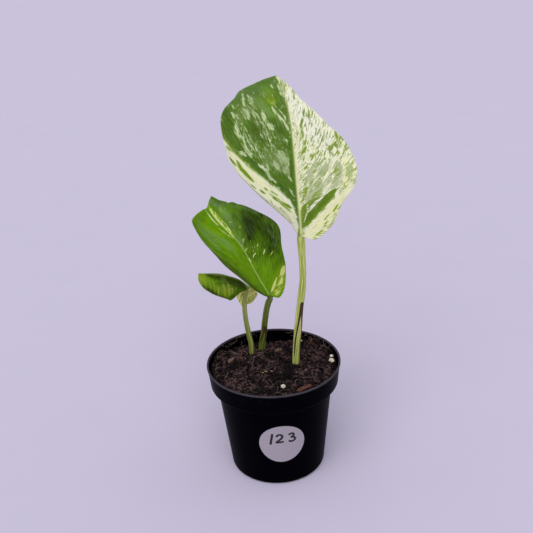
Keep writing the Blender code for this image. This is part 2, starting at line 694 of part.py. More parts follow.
def make_lump(name, spec, material, seed):
    """An angular grain that lies on the soil, just clear of it."""
    x, y, length, width, thickness, turn, tilt = spec
    rng = random.Random(seed)
    bm = bmesh.new()
    bmesh.ops.create_icosphere(bm, subdivisions=2, radius=0.5)
    for vert in bm.verts:
        vert.co *= rng.uniform(*GRAIN_ROUGH)
    lay = Matrix.Rotation(math.radians(turn), 4, "Z") @ Matrix.Rotation(-math.radians(tilt), 4, "Y")
    size = Matrix.Diagonal((length, width, thickness, 1.0))
    bmesh.ops.transform(bm, matrix=lay @ size, verts=bm.verts)
    clear = max(soil_height(x + v.co.x, y + v.co.y) - v.co.z for v in bm.verts)
    bmesh.ops.translate(bm, vec=(x, y, clear + GAP), verts=bm.verts)
    add_object(name, bm, material)


def make_loose_bits():
    perlite = plain_material("perlite_white", PERLITE_WHITE, 0.9)
    for number, spec in enumerate(PERLITE, 1):
        make_lump("perlite_%d" % number, spec, perlite, number)
    bark = plain_material("bark_brown", BARK_BROWN, 0.85)
    for number, spec in enumerate(BARK, 1):
        make_lump("bark_%d" % number, spec, bark, 20 + number)
    make_lump("splinter", SPLINTER, plain_material("wood_tan", WOOD_TAN, 0.8), 40)


clear_scene()
make_pot()
make_label()
make_stems()
make_soil()
make_petioles()
make_blades()
make_loose_bits()
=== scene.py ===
"""A potted marble queen pothos: leaves, stalks, soil and pot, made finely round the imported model.

Sizes are in millimetres and become metres when a mesh is made. +Z is up and the front is -Y.
"""
import math
import random

import bmesh
import bpy
import numpy as np
from mathutils import Matrix, Vector, noise


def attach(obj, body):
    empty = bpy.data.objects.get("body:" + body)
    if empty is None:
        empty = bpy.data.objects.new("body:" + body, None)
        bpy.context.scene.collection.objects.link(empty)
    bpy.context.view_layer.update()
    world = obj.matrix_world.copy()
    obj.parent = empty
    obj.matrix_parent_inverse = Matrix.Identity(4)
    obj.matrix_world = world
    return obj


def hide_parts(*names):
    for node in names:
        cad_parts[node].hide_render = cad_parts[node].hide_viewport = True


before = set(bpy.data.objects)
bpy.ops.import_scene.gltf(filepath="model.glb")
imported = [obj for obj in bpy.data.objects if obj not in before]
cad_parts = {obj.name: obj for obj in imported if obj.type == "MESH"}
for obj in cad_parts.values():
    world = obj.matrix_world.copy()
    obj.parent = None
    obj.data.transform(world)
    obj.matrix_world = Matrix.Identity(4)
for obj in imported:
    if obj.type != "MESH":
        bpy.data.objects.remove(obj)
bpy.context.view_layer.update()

MM = 0.001

# Camera, from the photo: the frame is square, and the lens is given in its pixels
IMAGE_PIXELS = 533
LENS_PIXELS = 800
SENSOR = 36.0
CAMERA_PLACE = (-1.3, -467.9, 352.4)
CAMERA_DOWN = 23.7
CAMERA_ROLL = 3.1

# Light: a pale world and one wide sun from above and in front, its width in degrees. The floor is
# in metres
WORLD_COLOUR = (0.94, 0.95, 1.0, 1.0)
WORLD_STRENGTH = 0.55
SUN_COLOUR = (1.0, 0.985, 0.97)
SUN_STRENGTH = 1.65
SUN_WIDTH = 60
SUN_FROM = (-0.2, -0.8, 1.0)
FLOOR_REACH = 60.0

# Pot, a thin turned shell: a tapered body under a wider collar with a small round lip
POT_HEIGHT = 78.0
RIM_RADIUS = 45.0
LIP_HEIGHT = 1.5
LIP_WIDTH = 1.2
COLLAR_FOOT_Z = 64.0
COLLAR_FOOT_RADIUS = 43.2
BODY_TOP_Z = 60.0
BODY_TOP_RADIUS = 38.6
BODY_FOOT_RADIUS = 32.1
BODY_CORNER = 3.0
SHOULDER_BEND = (0.7, 0.9)
COLLAR_BEND = (1.4, 1.6)
LIP_STEP = 0.5
LIP_ROUND = 0.4
POT_WALL = 1.0
POT_FLOOR = 1.4
FLOOR_CORNER = 2.0
POT_SIDES = 160
ARC_STEPS = 8
BEND_STEPS = 4
BEND_LIMIT = 0.45
SHARP_ANGLE = math.radians(35)
DRAIN_COUNT = 8
DRAIN_RADIUS = 3.0
DRAIN_RING = 21.0
DRAIN_SIDES = 32

# Label, a round paper disc wrapped on the front of the body, turned by an angle in radians, and the
# number on it, as strokes through points across and up from its middle
LABEL_RADIUS = 15.2
LABEL_Z = 35.5
LABEL_TURN = 0.076
LABEL_LIFT = 0.05
LABEL_THICK = 0.2
LABEL_FACE = LABEL_LIFT + LABEL_THICK
LABEL_RINGS = 24
LABEL_SIDES = 96
INK_HALF_WIDTH = 0.78
INK_HEIGHT = 0.1
INK_STEPS = 40
INK_SIDES = 8
FIGURES = (
    ((-6.1, 9.2), (-6.8, 5.0), (-7.7, 0.2)),
    ((-3.7, 6.6), (-2.6, 8.0), (-0.9, 8.1), (0.2, 6.8), (-0.5, 5.0), (-2.4, 3.2), (-3.8, 1.9),
     (-1.6, 1.9), (1.0, 2.1)),
    ((4.3, 7.4), (5.8, 8.3), (7.5, 7.5), (7.4, 6.1), (5.9, 5.4), (7.7, 4.7), (8.6, 3.3), (7.5, 1.9),
     (5.6, 1.7), (4.3, 2.6)),
)

# Soil: its level, and its mounds and hollows as x, y, rise and spread
SOIL_LEVEL = 69.3
SOIL_LUMPS = (
    (-10.0, 13.0, 3.0, 9.0),
    (34.0, 24.0, 5.2, 12.0),
    (31.0, 32.0, 2.5, 7.0),
    (21.0, 37.5, 3.6, 7.0),
    (41.0, 6.0, 4.6, 9.0),
    (3.0, 24.0, 1.6, 6.0),
    (15.0, 3.0, 1.2, 7.0),
    (-38.0, 16.0, 6.0, 13.0),
    (-41.0, -5.0, 4.5, 11.0),
    (-20.0, -22.0, 1.0, 10.0),
    (7.0, -10.0, -2.4, 7.0),
    (0.0, 17.0, -2.2, 4.5),
    (16.0, -17.0, -1.4, 6.0),
)
SOIL_GRAIN = 7.0
SOIL_ROUGH = 0.8
SOIL_NOISE_PLANE = 11.0
SOIL_GAP = 0.3
SOIL_RINGS = 110
SOIL_SIDES = 240

# Clods, as size and rise, which are lower near the loose bits
CLOD_SIZES = ((8.0, 2.2), (3.8, 1.5), (1.8, 0.8), (0.9, 0.4))
CLOD_MIDDLE = 0.42
CALM_REACH = 5.0
CALM_LEAST = 0.2

# Crumbs: shapes are ranges of length, width and height, as shares of the size. The tone is a base
# and so much of the soil's tone at its place, with its painted shade, and large crumbs are never as
# pale as a small one can be
CRUMB_SEED = 5
CRUMB_COUNT = 9200
CRUMB_MARGIN = 1.0
CRUMB_SIZES = (0.5, 3.6)
CRUMB_FEWNESS = 3.2
CRUMB_UNEVENNESS = (0.75, 1.2)
CRUMB_SHAPES = ((0.7, 1.3), (0.6, 1.1), (0.5, 0.9))
CRUMB_TILT = 0.6
CRUMB_LIFT = 0.3
CRUMB_TONES = (0.35, 1.05)
CRUMB_TONE_CURVE = 0.8
CRUMB_PALE_LIMIT = 1.3
CRUMB_PALE_TONE = 0.84

# How brown the soil is: soft patches, and places as x, y, shift and spread. The places darker in
# the hollows at 4, -6, 0, 17 and 16, -17 are painted shade, and the lighter one on the mound at
# -10, 13 is painted light
BED_TONE = 0.6
PATCH_SIZE = 7.0
PATCH_STRENGTH = 0.75
SOIL_TONES_AND_SHADE = (
    (-19.0, -11.0, 0.3, 12.0),
    (-2.0, -32.0, -0.2, 12.0),
    (-10.0, 13.0, 0.15, 8.0),
    (20.0, -8.0, 0.15, 10.0),
    (4.0, -6.0, -0.5, 9.0),
    (0.0, 17.0, -0.4, 9.0),
    (-22.0, 6.0, -0.15, 8.0),
    (16.0, -17.0, -0.3, 7.0),
)

# Fibres: loose curves on the soil, and dry roots by the wall, between two angles in degrees and as
# many as the third number says
FIBRE_SEED = 11
FIBRE_COUNT = 120
FIBRE_MARGIN = 2.0
FIBRE_STEPS = 10
FIBRE_LEAST_STEPS = 4
FIBRE_LENGTHS = (3.0, 11.0)
FIBRE_CURL = 0.25
FIBRE_ARCH = 1.6
FIBRE_LIFT = 0.3
FIBRE_RADII = (0.10, 0.22)
FIBRE_TONE_CURVE = 1.4
FIBRE_SIDES = 5
FIBRE_TAPER = 0.35
NEARLY_UP = (0.3, 0.2, 1.0)
WALL_FIBRES = ((20, 75, 26), (105, 165, 22))
WALL_FIBRE_RADIUS = 43.0
WALL_FIBRE_BULGE = 2.2
WALL_FIBRE_STEPS = 8
WALL_FIBRE_TURN = 0.16
WALL_FIBRE_TOPS = (73.5, 78.6)
WALL_FIBRE_DIPS = (0.5, 4.5)
WALL_FIBRE_RADII = (0.10, 0.2)
WALL_FIBRE_TONE = 0.6

# Stalks: centre line up from below the soil, as x, y, z and radius, and a seat, which is where the
# stalk meets its leaf, ahead, to the right and above the leaf's base, and its radius. Its ends
# follow the seat in the same way, with radii as shares of the seat's. The groove faces groove_to,
# as x and y. The sheath ends at sheath_top, and its edges part over sheath_spread on the way down.
# Stain and slot fade in above a height, over a stretch. The brown stain on the sheath's edges
# widens where they meet near its top, partly as a painted shadow in the slot between them. Angles
# on the stalk are in radians
STALK_RINGS = 170
STALK_SIDES = 48
STALK_FRONT = (0.0, -1.0, 0.0)
STALK_ENDS = ((2.5, 0.0, -1.5, 0.62), (7.0, 0.0, -1.25, 0.4))
GROOVE_DEPTH = 0.22
GROOVE_HALF_ANGLE = 0.55
SHEATH_RISE = 0.16
SHEATH_HALF_ANGLE = 0.25
SHEATH_OPEN = 1.0
SHEATH_EASE = (1.0, 3.0)
STAIN_HALF_ANGLE = 0.22
STAIN_AND_SHADOW_WIDENING = 1.7
STAIN_SPLIT = 0.32
STAIN_FADE = (70.0, 14.0)
PALE_SLOT = (86.0, 14.0)
CAP_REACH = 0.5
STALKS = {
    "stalk_large": dict(
        route=((14.7, 7.9, 65.4, 2.1), (15.0, 8.0, 69.7, 2.2), (16.2, 8.5, 84.6, 2.35),
               (17.9, 9.0, 98.8, 2.5), (19.6, 9.5, 112.8, 2.4), (21.2, 10.0, 123.7, 2.4),
               (22.2, 10.5, 133.2, 2.2), (22.2, 11.3, 148.0, 2.3)),
        leaf="leaf_large", seat=(-2.1, 0.0, -1.0, 2.5), groove_to=(-0.25, -1.0), sheath_top=117.0,
        sheath_spread=29.0, sheath_turn=0.45, tone=0.0, node="petiole_large"),
    "stalk_medium": dict(
        route=((-8.6, 30.2, 64.2, 2.1), (-7.8, 30.0, 70.8, 2.5), (-6.9, 29.5, 77.5, 2.4),
               (-5.7, 28.8, 83.4, 2.2), (-4.6, 27.6, 92.5, 2.1), (-2.7, 26.5, 103.5, 2.1),
               (-1.2, 25.9, 109.0, 2.1)),
        leaf="leaf_medium", seat=(-1.9, -0.2, -0.9, 1.9), groove_to=(-0.4, -1.0), sheath_top=91.0,
        sheath_spread=14.0, sheath_turn=0.1, tone=0.85, node="petiole_medium"),
    "stalk_small": dict(
        route=((-14.9, 25.9, 61.2, 1.7), (-14.8, 26.0, 70.3, 1.8), (-15.1, 26.3, 77.4, 1.8),
               (-16.4, 26.8, 85.2, 1.8), (-17.7, 27.5, 95.9, 1.7), (-18.0, 28.6, 105.6, 1.65),
               (-17.7, 29.0, 109.8, 1.6)),
        leaf="leaf_small", seat=(-1.2, -0.6, -3.0, 1.45), groove_to=(-0.6, -1.0), sheath_top=64.0,
        sheath_spread=14.0, sheath_turn=0.0, tone=0.5, node="petiole_small"),
}

# Leaves, each described by its midrib in space and the outline of its two halves, which are points
# along the midrib and out from it. Fold, bend and roll are slopes in degrees at even places from
# base to tip: all the way out, growing outwards, and growing from roll_from to the margin. A wave
# is its height, how many there are, and its phase. Bunches crowd veins or streaks at the base.
# The grid is how many rows and columns of points a half has; rib_width is its groove's half width
LEAF_THICK = 0.55
EDGE_THICK = 0.2
EDGE_WIDTH = 0.5
COLUMN_CROWDING = 1.35
LAST_COLUMN = 0.993
VEIN_START = 0.55
ROLL_EASE = 1.5
TANGENT_REACH = 1.5
RIDGE_DEPTH = 1.2
RIDGE_WIDTH = 1.5
RIDGE_TAPER = 0.7
MIDRIB_GROOVE = 0.35
SIDE_VEINS = 13
SIDE_VEIN_DEPTH = 0.12
SIDE_VEIN_SHARPNESS = 6
SWELL_SIZE = 14.0
SWELL_HEIGHT = 0.3
STREAK_SAMPLES = 240
STREAK_GAIN = 7.0
STREAK_WANDER = 2.2
STREAK_WANDER_SIZE = 2.5
SIDE_APART = 20.0
WELD_REACH = 0.01
LEAVES = {
    "leaf_large": dict(
        midrib=((21.9, 12.0, 161.9), (21.6, 14.0, 175.6), (20.7, 19.5, 197.3), (20.1, 26.5, 215.0),
                (19.0, 36.5, 232.0), (16.4, 52.0, 244.2), (11.9, 75.0, 253.5)),
        facing=(0.0, -0.85, 0.5), vein_bunch=1.9, roll_from=0.88, grid=(260, 68),
        node="blade_large", slot="marbled_leaf", rib_width=0.52,
        left=dict(
            outline=((0.0, 0.9), (6.0, 5.9), (16.1, 10.7), (23.4, 21.0), (34.0, 33.9), (47.2, 45.3),
                     (58.8, 46.9), (73.7, 46.4), (85.8, 41.5), (96.7, 33.3), (110.5, 26.3),
                     (118.8, 10.8)),
            fold=(46, 34, 14, 4), bend=(0, -6, -6, -4), roll=(30, 34, 12, 0),
            streak_bunch=4.5, wave=(0.8, 3.0, 0.5)),
        right=dict(
            outline=((0.0, 0.9), (-2.6, 9.4), (7.3, 21.5), (19.7, 28.3), (28.8, 35.9), (40.6, 38.8),
                     (58.4, 31.8), (68.5, 22.2), (85.3, 10.8), (105.1, 4.5)),
            fold=(12, 12, 20, 26), bend=(-6, -8, -12, -12), roll=(0, 0, 0, 0),
            streak_bunch=2.4, wave=(0.9, 3.2, 1.2))),
    "leaf_medium": dict(
        midrib=((-0.3, 25.0, 113.9), (-8.0, 26.0, 129.7), (-18.9, 30.5, 151.9),
                (-33.0, 40.0, 165.3), (-37.9, 47.5, 171.2), (-38.3, 54.0, 173.9),
                (-36.9, 61.0, 175.8)),
        facing=(0.25, -0.85, 0.5), vein_bunch=1.7, roll_from=0.5, grid=(200, 56),
        node="blade_medium", slot="green_leaf", rib_width=0.34,
        left=dict(
            outline=((0.0, 0.9), (3.9, 6.5), (14.6, 14.9), (29.7, 22.8), (43.9, 29.0), (55.0, 25.9),
                     (63.5, 22.3), (68.5, 19.5), (71.6, 12.9), (74.6, 5.8), (76.8, 1.6)),
            fold=(50, 34, 16, 10), bend=(0, -6, -6, -4), roll=(60, 95, 80, 0),
            streak_bunch=4, wave=(0.5, 3.0, 0.5)),
        right=dict(
            outline=((0.0, 0.9), (-4.8, 5.0), (-1.7, 11.6), (11.0, 19.9), (27.3, 24.0),
                     (38.9, 29.0), (49.7, 23.7), (61.4, 19.4), (72.4, 16.4), (82.1, 16.7),
                     (88.1, 12.4), (87.9, 5.7)),
            fold=(6, 14, 16, 20), bend=(-4, -10, -16, -10), roll=(0, 0, 0, 0),
            streak_bunch=4.5, wave=(0.6, 3.2, 1.2))),
    "leaf_small": dict(
        midrib=((-14.3, 30.0, 118.2), (-18.8, 28.0, 125.0), (-27.0, 25.5, 130.0),
                (-36.8, 22.0, 133.7), (-46.7, 16.0, 137.2)),
        facing=(0.1, -0.35, 1.0), vein_bunch=1.5, roll_from=0.7, grid=(150, 48),
        node="blade_small", slot="dark_leaf", rib_width=0.4,
        left=dict(
            outline=((0.0, 0.8), (1.9, 8.4), (1.2, 15.2), (9.3, 16.6), (19.6, 15.4), (29.2, 13.7),
                     (36.7, 10.0), (41.5, 3.8)),
            fold=(-50, -40, -34, -30), bend=(-36, -50, -50, -30), roll=(0, 0, 0, 0),
            streak_bunch=4.5, wave=(0.4, 3.0, 0.5)),
        right=dict(
            outline=((0.0, 0.8), (-7.9, 4.0), (-15.5, 9.6), (-19.0, 15.5), (-8.2, 16.4),
                     (8.0, 14.2), (23.8, 10.7), (33.5, 6.2), (39.6, 2.3)),
            fold=(49, -43, -29, -25), bend=(5, -73, -40, -19), roll=(0, 0, 0, 0),
            streak_bunch=4.5, wave=(0.9, 4.2, 1.2))),
}

# Markings on the leaves. Each kind has a level for the left and the right half, and then marks, as
# a level, a half width and a route, whose points lie out from the midrib (left is minus) and along
# it. Green is how green the leaf is, from cream at 0; sage is how much grey-green veils it, partly
# the leaf's own and partly painted sheen; deep is how dark its green is, partly its own deep green
# and partly painted shade, mostly on the medium and small leaves; yellow is how yellow it is. A
# mark is widest in the middle of its route, and its soft edge is MARK_EDGE and a share of its half
# width, which is its kind's softness.
MARK_EDGE = 0.35
MARK_END = 0.3
MARK_SOFTNESS = dict(green=0.45, sage_and_sheen=0.8, deep_and_shade=1.0, yellow=1.0)
MARKS = {
    "leaf_large": dict(
        green=(1, 0.18, (
            (1.4, 5.0, ((-32.5, 93), (-21.5, 109), (-11.5, 112), (-5.5, 101), (-6.5, 90.5))),
            (1.6, 3.2, ((-18, 101.5), (-15, 90.5), (-12, 80), (-7.5, 71.5), (-3.5, 62.5))),
            (1.6, 2.0, ((-2, 61.5), (-2, 50.5), (-2.5, 41.5), (-2.5, 30.5))),
            (1.4, 0.9, ((-2, 34), (-2.5, 22), (-3, 11.5))),
            (1.7, 3.1, ((-40, 86.5), (-41.5, 77.5), (-42, 70), (-40.5, 63.5), (-37, 58))),
            (1.6, 1.7, ((-38.5, 58), (-33, 51.5), (-28, 46.5), (-23.5, 42), (-17.5, 37.5),
                        (-9.5, 33), (-4, 28))),
            (1.4, 3.7, ((-18, 36), (-10, 38), (-4.5, 30.5), (-4.5, 24.5))),
            (1.2, 1.6, ((-31, 59.5), (-25, 51.5), (-19.5, 42.5))),
            (-0.6, 2.7, ((-47, 61.5), (-44, 54), (-39.5, 49), (-33, 42.5), (-24.5, 36.5),
                        (-15.5, 29.5), (-8, 23), (-3, 13))),
            (-0.6, 3.0, ((-46.5, 54), (-44, 47), (-37.5, 40.5), (-30, 34), (-21.5, 26.5),
                        (-13.5, 18.5), (-3.5, 7.5))),
            (1.6, 1.2, ((-40, 49.5), (-38, 45), (-35, 41.5), (-31, 37.5))),
            (1.1, 0.7, ((-45.5, 51.5), (-41.5, 46.5))),
            (1, 0.6, ((-45.5, 58), (-43, 55))),
            (1.4, 0.6, ((-27.5, 32.5), (-26, 31.5), (-24, 30))),
            (1.1, 0.5, ((-24, 33.5), (-21.5, 32))),
            (1.3, 0.6, ((-19, 27.5), (-17.5, 26.5), (-15.5, 24.5))),
            (0.9, 0.4, ((-21.5, 26.5), (-20, 22.5))),
            (-0.8, 2.0, ((-17.5, 24), (-13, 18.5), (-6, 13), (-2, 6))),
            (-1.2, 1.6, ((-7.5, 9.5), (-4.5, 5.5), (-3.5, 3))),
            (1.4, 0.7, ((-11, 23), (-6, 19))),
            (0.9, 0.4, ((-34.5, 36.5), (-30, 33.5))),
            (0.8, 0.6, ((-20, 31.5), (-14.5, 28))),
            (0.8, 0.6, ((-15, 21), (-12.5, 17.5))),
            (0.1, 0.8, ((-26, 106.5), (-27, 96.5), (-28, 88.5))),
            (0.1, 0.7, ((-23, 102.5), (-24, 93.5))),
            (0.1, 1.9, ((-29, 86.5), (-27.5, 81.5), (-27.5, 74.5))),
            (0.1, 1.5, ((-37, 82), (-35.5, 78.5), (-34, 76))),
            (0.15, 1.9, ((-36.5, 72.5), (-36.5, 68.5), (-35, 63.5))),
            (0.2, 0.9, ((-22, 98), (-22.5, 87.5), (-22, 78))),
            (0.1, 1.5, ((-17, 84), (-17, 77.5), (-16.5, 72))),
            (0.1, 1.5, ((-14.5, 73.5), (-12.5, 68.5))),
            (0.2, 0.7, ((-20.5, 77.5), (-17, 67.5), (-14.5, 59))),
            (0.1, 1.4, ((-32.5, 61.5), (-31.5, 56), (-29.5, 51.5))),
            (0.1, 1.4, ((-36.5, 55.5), (-33, 52))),
            (-0.1, 1.4, ((-25, 47), (-21.5, 45), (-19.5, 43))),
            (0.1, 1.2, ((-21, 42.5), (-18.5, 39), (-14.5, 36))),
            (0, 0.9, ((-11, 87), (-8, 80), (-4.5, 74), (-2, 68))),
            (0.2, 0.6, ((-8, 87), (-4.5, 80), (-2, 74.5))),
            (0.2, 0.6, ((-6, 64), (-3.5, 60))),
            (0.2, 0.7, ((-9.5, 44), (-5.5, 39), (-3, 34.5))),
            (0.2, 0.6, ((-6, 32), (-2.5, 25))),
            (0.6, 0.7, ((-4.5, 116), (-5.5, 108.5), (-4.5, 103))),
            (0.1, 3.4, ((-10, 54.5), (-5.5, 46.5))),
            (0.35, 2.5, ((-8, 47), (-5, 40.5))),
            (-0.05, 1.6, ((-14.5, 49), (-11.5, 43.5))),
            (1.35, 3.4, ((-29.5, 76), (-25, 70), (-20.5, 63.5))),
            (0.85, 3.1, ((-23.5, 90), (-21, 76), (-16.5, 62.5), (-12, 54.5))),
            (0.75, 2.5, ((-35, 78), (-31.5, 66.5), (-25.5, 54), (-17.5, 43.5))),
            (0.2, 0.4, ((-25, 88.5), (-23, 79.5), (-21.5, 70.5))),
            (0.2, 0.4, ((-21.5, 82.5), (-18.5, 73), (-16, 65), (-14.5, 56))),
            (0.2, 0.4, ((-31, 72), (-28, 64), (-24, 56.5), (-19.5, 49.5))),
            (0.2, 0.4, ((-10.5, 83.5), (-7.5, 77), (-5, 70.5))),
            (0.35, 2.1, ((1.5, 112.5), (0, 103.5), (-1, 94.5))),
            (0.9, 2.1, ((-1.5, 92), (-1, 81.5))),
            (-0.5, 2.2, ((3.5, 100.5), (3, 87), (4, 72.5), (5, 68.5))),
            (0.45, 1.4, ((11, 77), (12.5, 72), (13.5, 67))),
            (0.4, 1.6, ((16.5, 65.5), (21, 57.5), (23, 51.5))),
            (0.4, 1.5, ((4.5, 61), (5, 53.5))),
            (0.5, 3.1, ((27.5, 60.5), (31, 54))),
            (0.35, 5.6, ((7.5, 35.5), (14, 36), (28, 41))),
            (0.5, 3.1, ((15.5, 32.5), (11, 27.5), (6, 23))),
            (-0.8, 0.9, ((1.5, 18.5), (9, 27), (19, 34), (22.5, 42), (23.5, 48))),
            (-0.8, 0.9, ((17.5, 26), (23.5, 30.5), (29, 36), (30, 45))),
            (-0.7, 0.7, ((2, 26), (9.5, 35.5), (17.5, 43.5))),
            (0.9, 0.6, ((5.5, 92.5), (5.5, 87.5))),
            (0.9, 0.5, ((4, 86), (4, 83.5))),
            (1.1, 0.7, ((10, 79.5), (9, 75))),
            (1.1, 0.8, ((8, 74), (7, 71.5), (5.5, 68.5))),
            (0.9, 0.6, ((9.5, 70.5), (8.5, 68))),
            (0.8, 0.6, ((13, 78), (12, 72.5))),
            (0.8, 0.5, ((14.5, 75.5), (14, 72.5))),
            (0.9, 0.6, ((1.5, 74), (2, 71))),
            (1, 0.7, ((6.5, 67), (6.5, 62))),
            (0.8, 0.6, ((3.5, 67), (3, 63.5))),
            (0.8, 0.6, ((9, 61), (6, 57))),
            (0.8, 0.6, ((16, 64), (16, 60))),
            (0.8, 0.6, ((19, 60.5), (19, 58.5))),
            (0.9, 0.6, ((21, 57.5), (21, 55))),
            (0.8, 0.5, ((18.5, 64), (18, 61.5))),
            (1.2, 0.7, ((27, 63), (28.5, 59))),
            (0.9, 0.5, ((30, 61), (32.5, 57.5))),
            (1.2, 0.9, ((27, 56.5), (27, 53))),
            (1.1, 0.7, ((24, 53), (26, 56))),
            (1, 0.7, ((30, 56.5), (30, 53))),
            (0.9, 0.6, ((32, 55.5), (33, 51.5))),
            (1.3, 0.8, ((8, 56), (4.5, 51))),
            (0.8, 0.6, ((3.5, 48.5), (5, 50))),
            (0.9, 0.7, ((13, 52), (10.5, 48))),
            (0.8, 0.6, ((9, 46), (6, 41.5))),
            (0.8, 0.6, ((19, 51.5), (19.5, 47))),
            (0.8, 0.6, ((16, 54.5), (16, 52))),
            (0.9, 0.6, ((35.5, 49.5), (36.5, 46))),
            (0.9, 0.8, ((8, 33), (4, 27.5))),
            (1.6, 2.7, ((2, 8), (4.5, 15.5), (8, 21))),
            (0.8, 1.5, ((2.5, 20.5), (4, 27.5), (7, 32.5))),
            (1.7, 2.4, ((1, 5.5), (6.5, 11.5), (12.5, 17.5), (19, 23.5), (24, 28))),
            (1.2, 1.9, ((4.5, 17), (8, 21), (12.5, 23.5))),
            (1.6, 0.9, ((6, 18.5), (9, 22), (12.5, 23.5))),
            (-0.6, 0.7, ((5, 15), (9, 19), (12.5, 22.5))),
            (-0.2, 0.4, ((2.5, 9), (5, 15), (6, 20))),
            (-0.9, 3.0, ((4, -1), (11, 6.5), (19, 14), (27, 21.5), (34.5, 27))),
            (0.2, 1.6, ((11, -0.5), (18.5, 7), (24, 15.5))),
            (1.2, 0.7, ((21.5, 14.5), (25.5, 19.5))),
            (0.9, 0.5, ((24, 14.5), (27, 19))),
            (1.2, 0.6, ((15.5, 9.5), (19, 13.5))),
            (0.9, 0.4, ((12.5, 14), (17.5, 17.5))),
            (1.1, 0.6, ((14.5, 4.5), (17.5, 9.5))),
            (0.8, 0.5, ((17, 3), (20.5, 8))),
            (1.1, 0.5, ((10.5, 0.5), (14, 3.5))),
            (0.8, 0.4, ((8, 4.5), (11.5, 8))),
            (1, 0.5, ((28.5, 28), (32, 30.5))),
            (0.8, 0.4, ((25.5, 25.5), (29.5, 28.5))),
            (1.4, 1.4, ((0.5, 8), (2.5, 16), (4.5, 21))),
            (1.2, 1.1, ((-0.5, 17), (-0.5, 10.5), (-0.5, 5))),
            (0.8, 1.1, ((0, 4), (2, 1.5))))),
        sage_and_sheen=(0, 0.28, (
            (1.4, 4.0, ((-9, 53), (-5.5, 46.5))),
            (1, 2.5, ((-14, 57.5), (-11.5, 50.5), (-4, 39))),
            (1.2, 2.8, ((-8.5, 47), (-5.5, 40.5))),
            (1.1, 2.8, ((-20, 96.5), (-15.5, 85), (-10.5, 76.5))),
            (0.9, 3.7, ((-28, 88.5), (-34.5, 73.5))),
            (1, 2.8, ((-22, 52), (-16, 46))),
            (-1, 3.4, ((-46.5, 58), (-39.5, 47), (-26, 32.5), (-7.5, 15.5))),
            (-1, 1.9, ((-12, 77), (-5.5, 66.5), (-1, 55), (-2, 33.5), (-6.5, 24.5), (-15.5, 32.5))),
            (-1, 2.8, ((-40, 86.5), (-42.5, 69))),
            (-1, 3.7, ((-11, 113.5), (-8.5, 94.5))),
            (1.2, 3.1, ((-20, 56), (-14.5, 49.5), (-9.5, 43.5))),
            (1, 2.1, ((1.5, 112.5), (0, 103.5), (-1, 94.5))),
            (0, 5.0, ((4.5, 95), (8.5, 78), (16.5, 64), (26.5, 52))),
            (1.3, 2.0, ((20, 44.5), (17.5, 41), (14.5, 37))),
            (1.5, 2.1, ((27, 44.5), (27, 38.5), (24, 30))),
            (1.1, 2.1, ((34.5, 44), (34, 34.5))),
            (1.1, 2.5, ((16.5, 47.5), (10, 39.5), (5.5, 33.5))),
            (1.7, 3.4, ((15.5, 32.5), (11, 27.5), (6, 23))),
            (1.2, 1.2, ((22, 37), (19, 32))),
            (0.9, 1.9, ((3, 13.5), (6.5, 18.5))),
            (-1, 3.4, ((4.5, 0), (14, 9), (25, 18), (33, 26))),
            (-1, 1.9, ((1.5, 4.5), (7, 11), (13.5, 17), (19.5, 22.5), (24.5, 27))))),
        deep_and_shade=(0.6, 0.4, (
            (0, 3.1, ((-18, 98.5), (-14, 85.5), (-9.5, 77))),
            (0.1, 4.3, ((-11.5, 112), (-7, 101.5))),
            (0.8, 2.5, ((-12, 75), (-5.5, 64.5))),
            (1.1, 3.1, ((-23, 76.5), (-20.5, 62.5))),
            (0.8, 2.5, ((-40, 86.5), (-42, 70))),
            (0.9, 2.5, ((-22.5, 82.5), (-20, 73), (-17.5, 63.5))),
            (0.9, 2.5, ((2, 8), (4.5, 15.5), (8, 21))),
            (0.55, 2.4, ((1, 5.5), (6.5, 11.5), (12.5, 17.5), (21, 25))))),
        yellow=(0.1, 0.4, (
            (0.4, 1.9, ((-11.5, 16.5), (-8, 11), (-3.5, 4))),
            (2.2, 1.7, ((-10, 97), (-9.5, 93), (-9, 89))),
            (0.3, 3.7, ((-9.5, 104.5), (-9.5, 96), (-9, 89))),
            (0.45, 4.3, ((-47, 59.5), (-41, 48), (-30.5, 37), (-18, 27), (-5, 12.5))),
            (0.6, 2.5, ((-47, 61.5), (-39.5, 49.5), (-28.5, 39), (-16, 28.5), (-4.5, 15))),
            (0, 1.0, ((-38.5, 58), (-28, 47), (-17.5, 38), (-4, 28.5))),
            (0.1, 5.6, ((4, 95), (8, 76.5), (16.5, 63), (22.5, 52.5))),
            (0.8, 3.1, ((31.5, 46), (34, 38), (31, 30))),
            (0.16, 3.7, ((1.5, 5), (7.5, 14), (16.5, 22.5), (24.5, 27.5))),
            (0.9, 1.6, ((0.5, 4.5), (2.5, 1.5))),
            (0.75, 4.0, ((5, -2), (11.5, 5), (20.5, 14.5), (30.5, 24))),
            (0.3, 1.6, ((1.5, 3), (5, 9)))))),
    "leaf_medium": dict(
        green=(2.2, 1.7, (
            (0.75, 2.2, ((0, 78), (1.5, 66.5), (1, 57.5), (0, 47))),
            (0, 0.3, ((6.5, 49.5), (8.5, 50.5))),
            (0, 0.3, ((3.5, 38.5), (5.5, 39))),
            (0, 0.3, ((2, 34), (4.5, 35.5))),
            (0, 0.3, ((8, 34.5), (10.5, 36))),
            (0, 0.3, ((7, 72.5), (6, 67.5))),
            (-0.4, 0.6, ((-3, 75.5), (-2.5, 68), (-2, 61))),
            (-0.4, 0.5, ((0, 76), (0.5, 67.5), (0.5, 58), (-0.5, 47.5))),
            (0, 0.4, ((-3.5, 59.5), (-2.5, 53), (-1.5, 47.5))),
            (-0.2, 0.4, ((5, 57.5), (6.5, 56))),
            (-0.2, 0.4, ((2.5, 42), (4, 43), (7.5, 44))),
            (-0.2, 0.4, ((0.5, 36), (3, 37), (5, 38))),
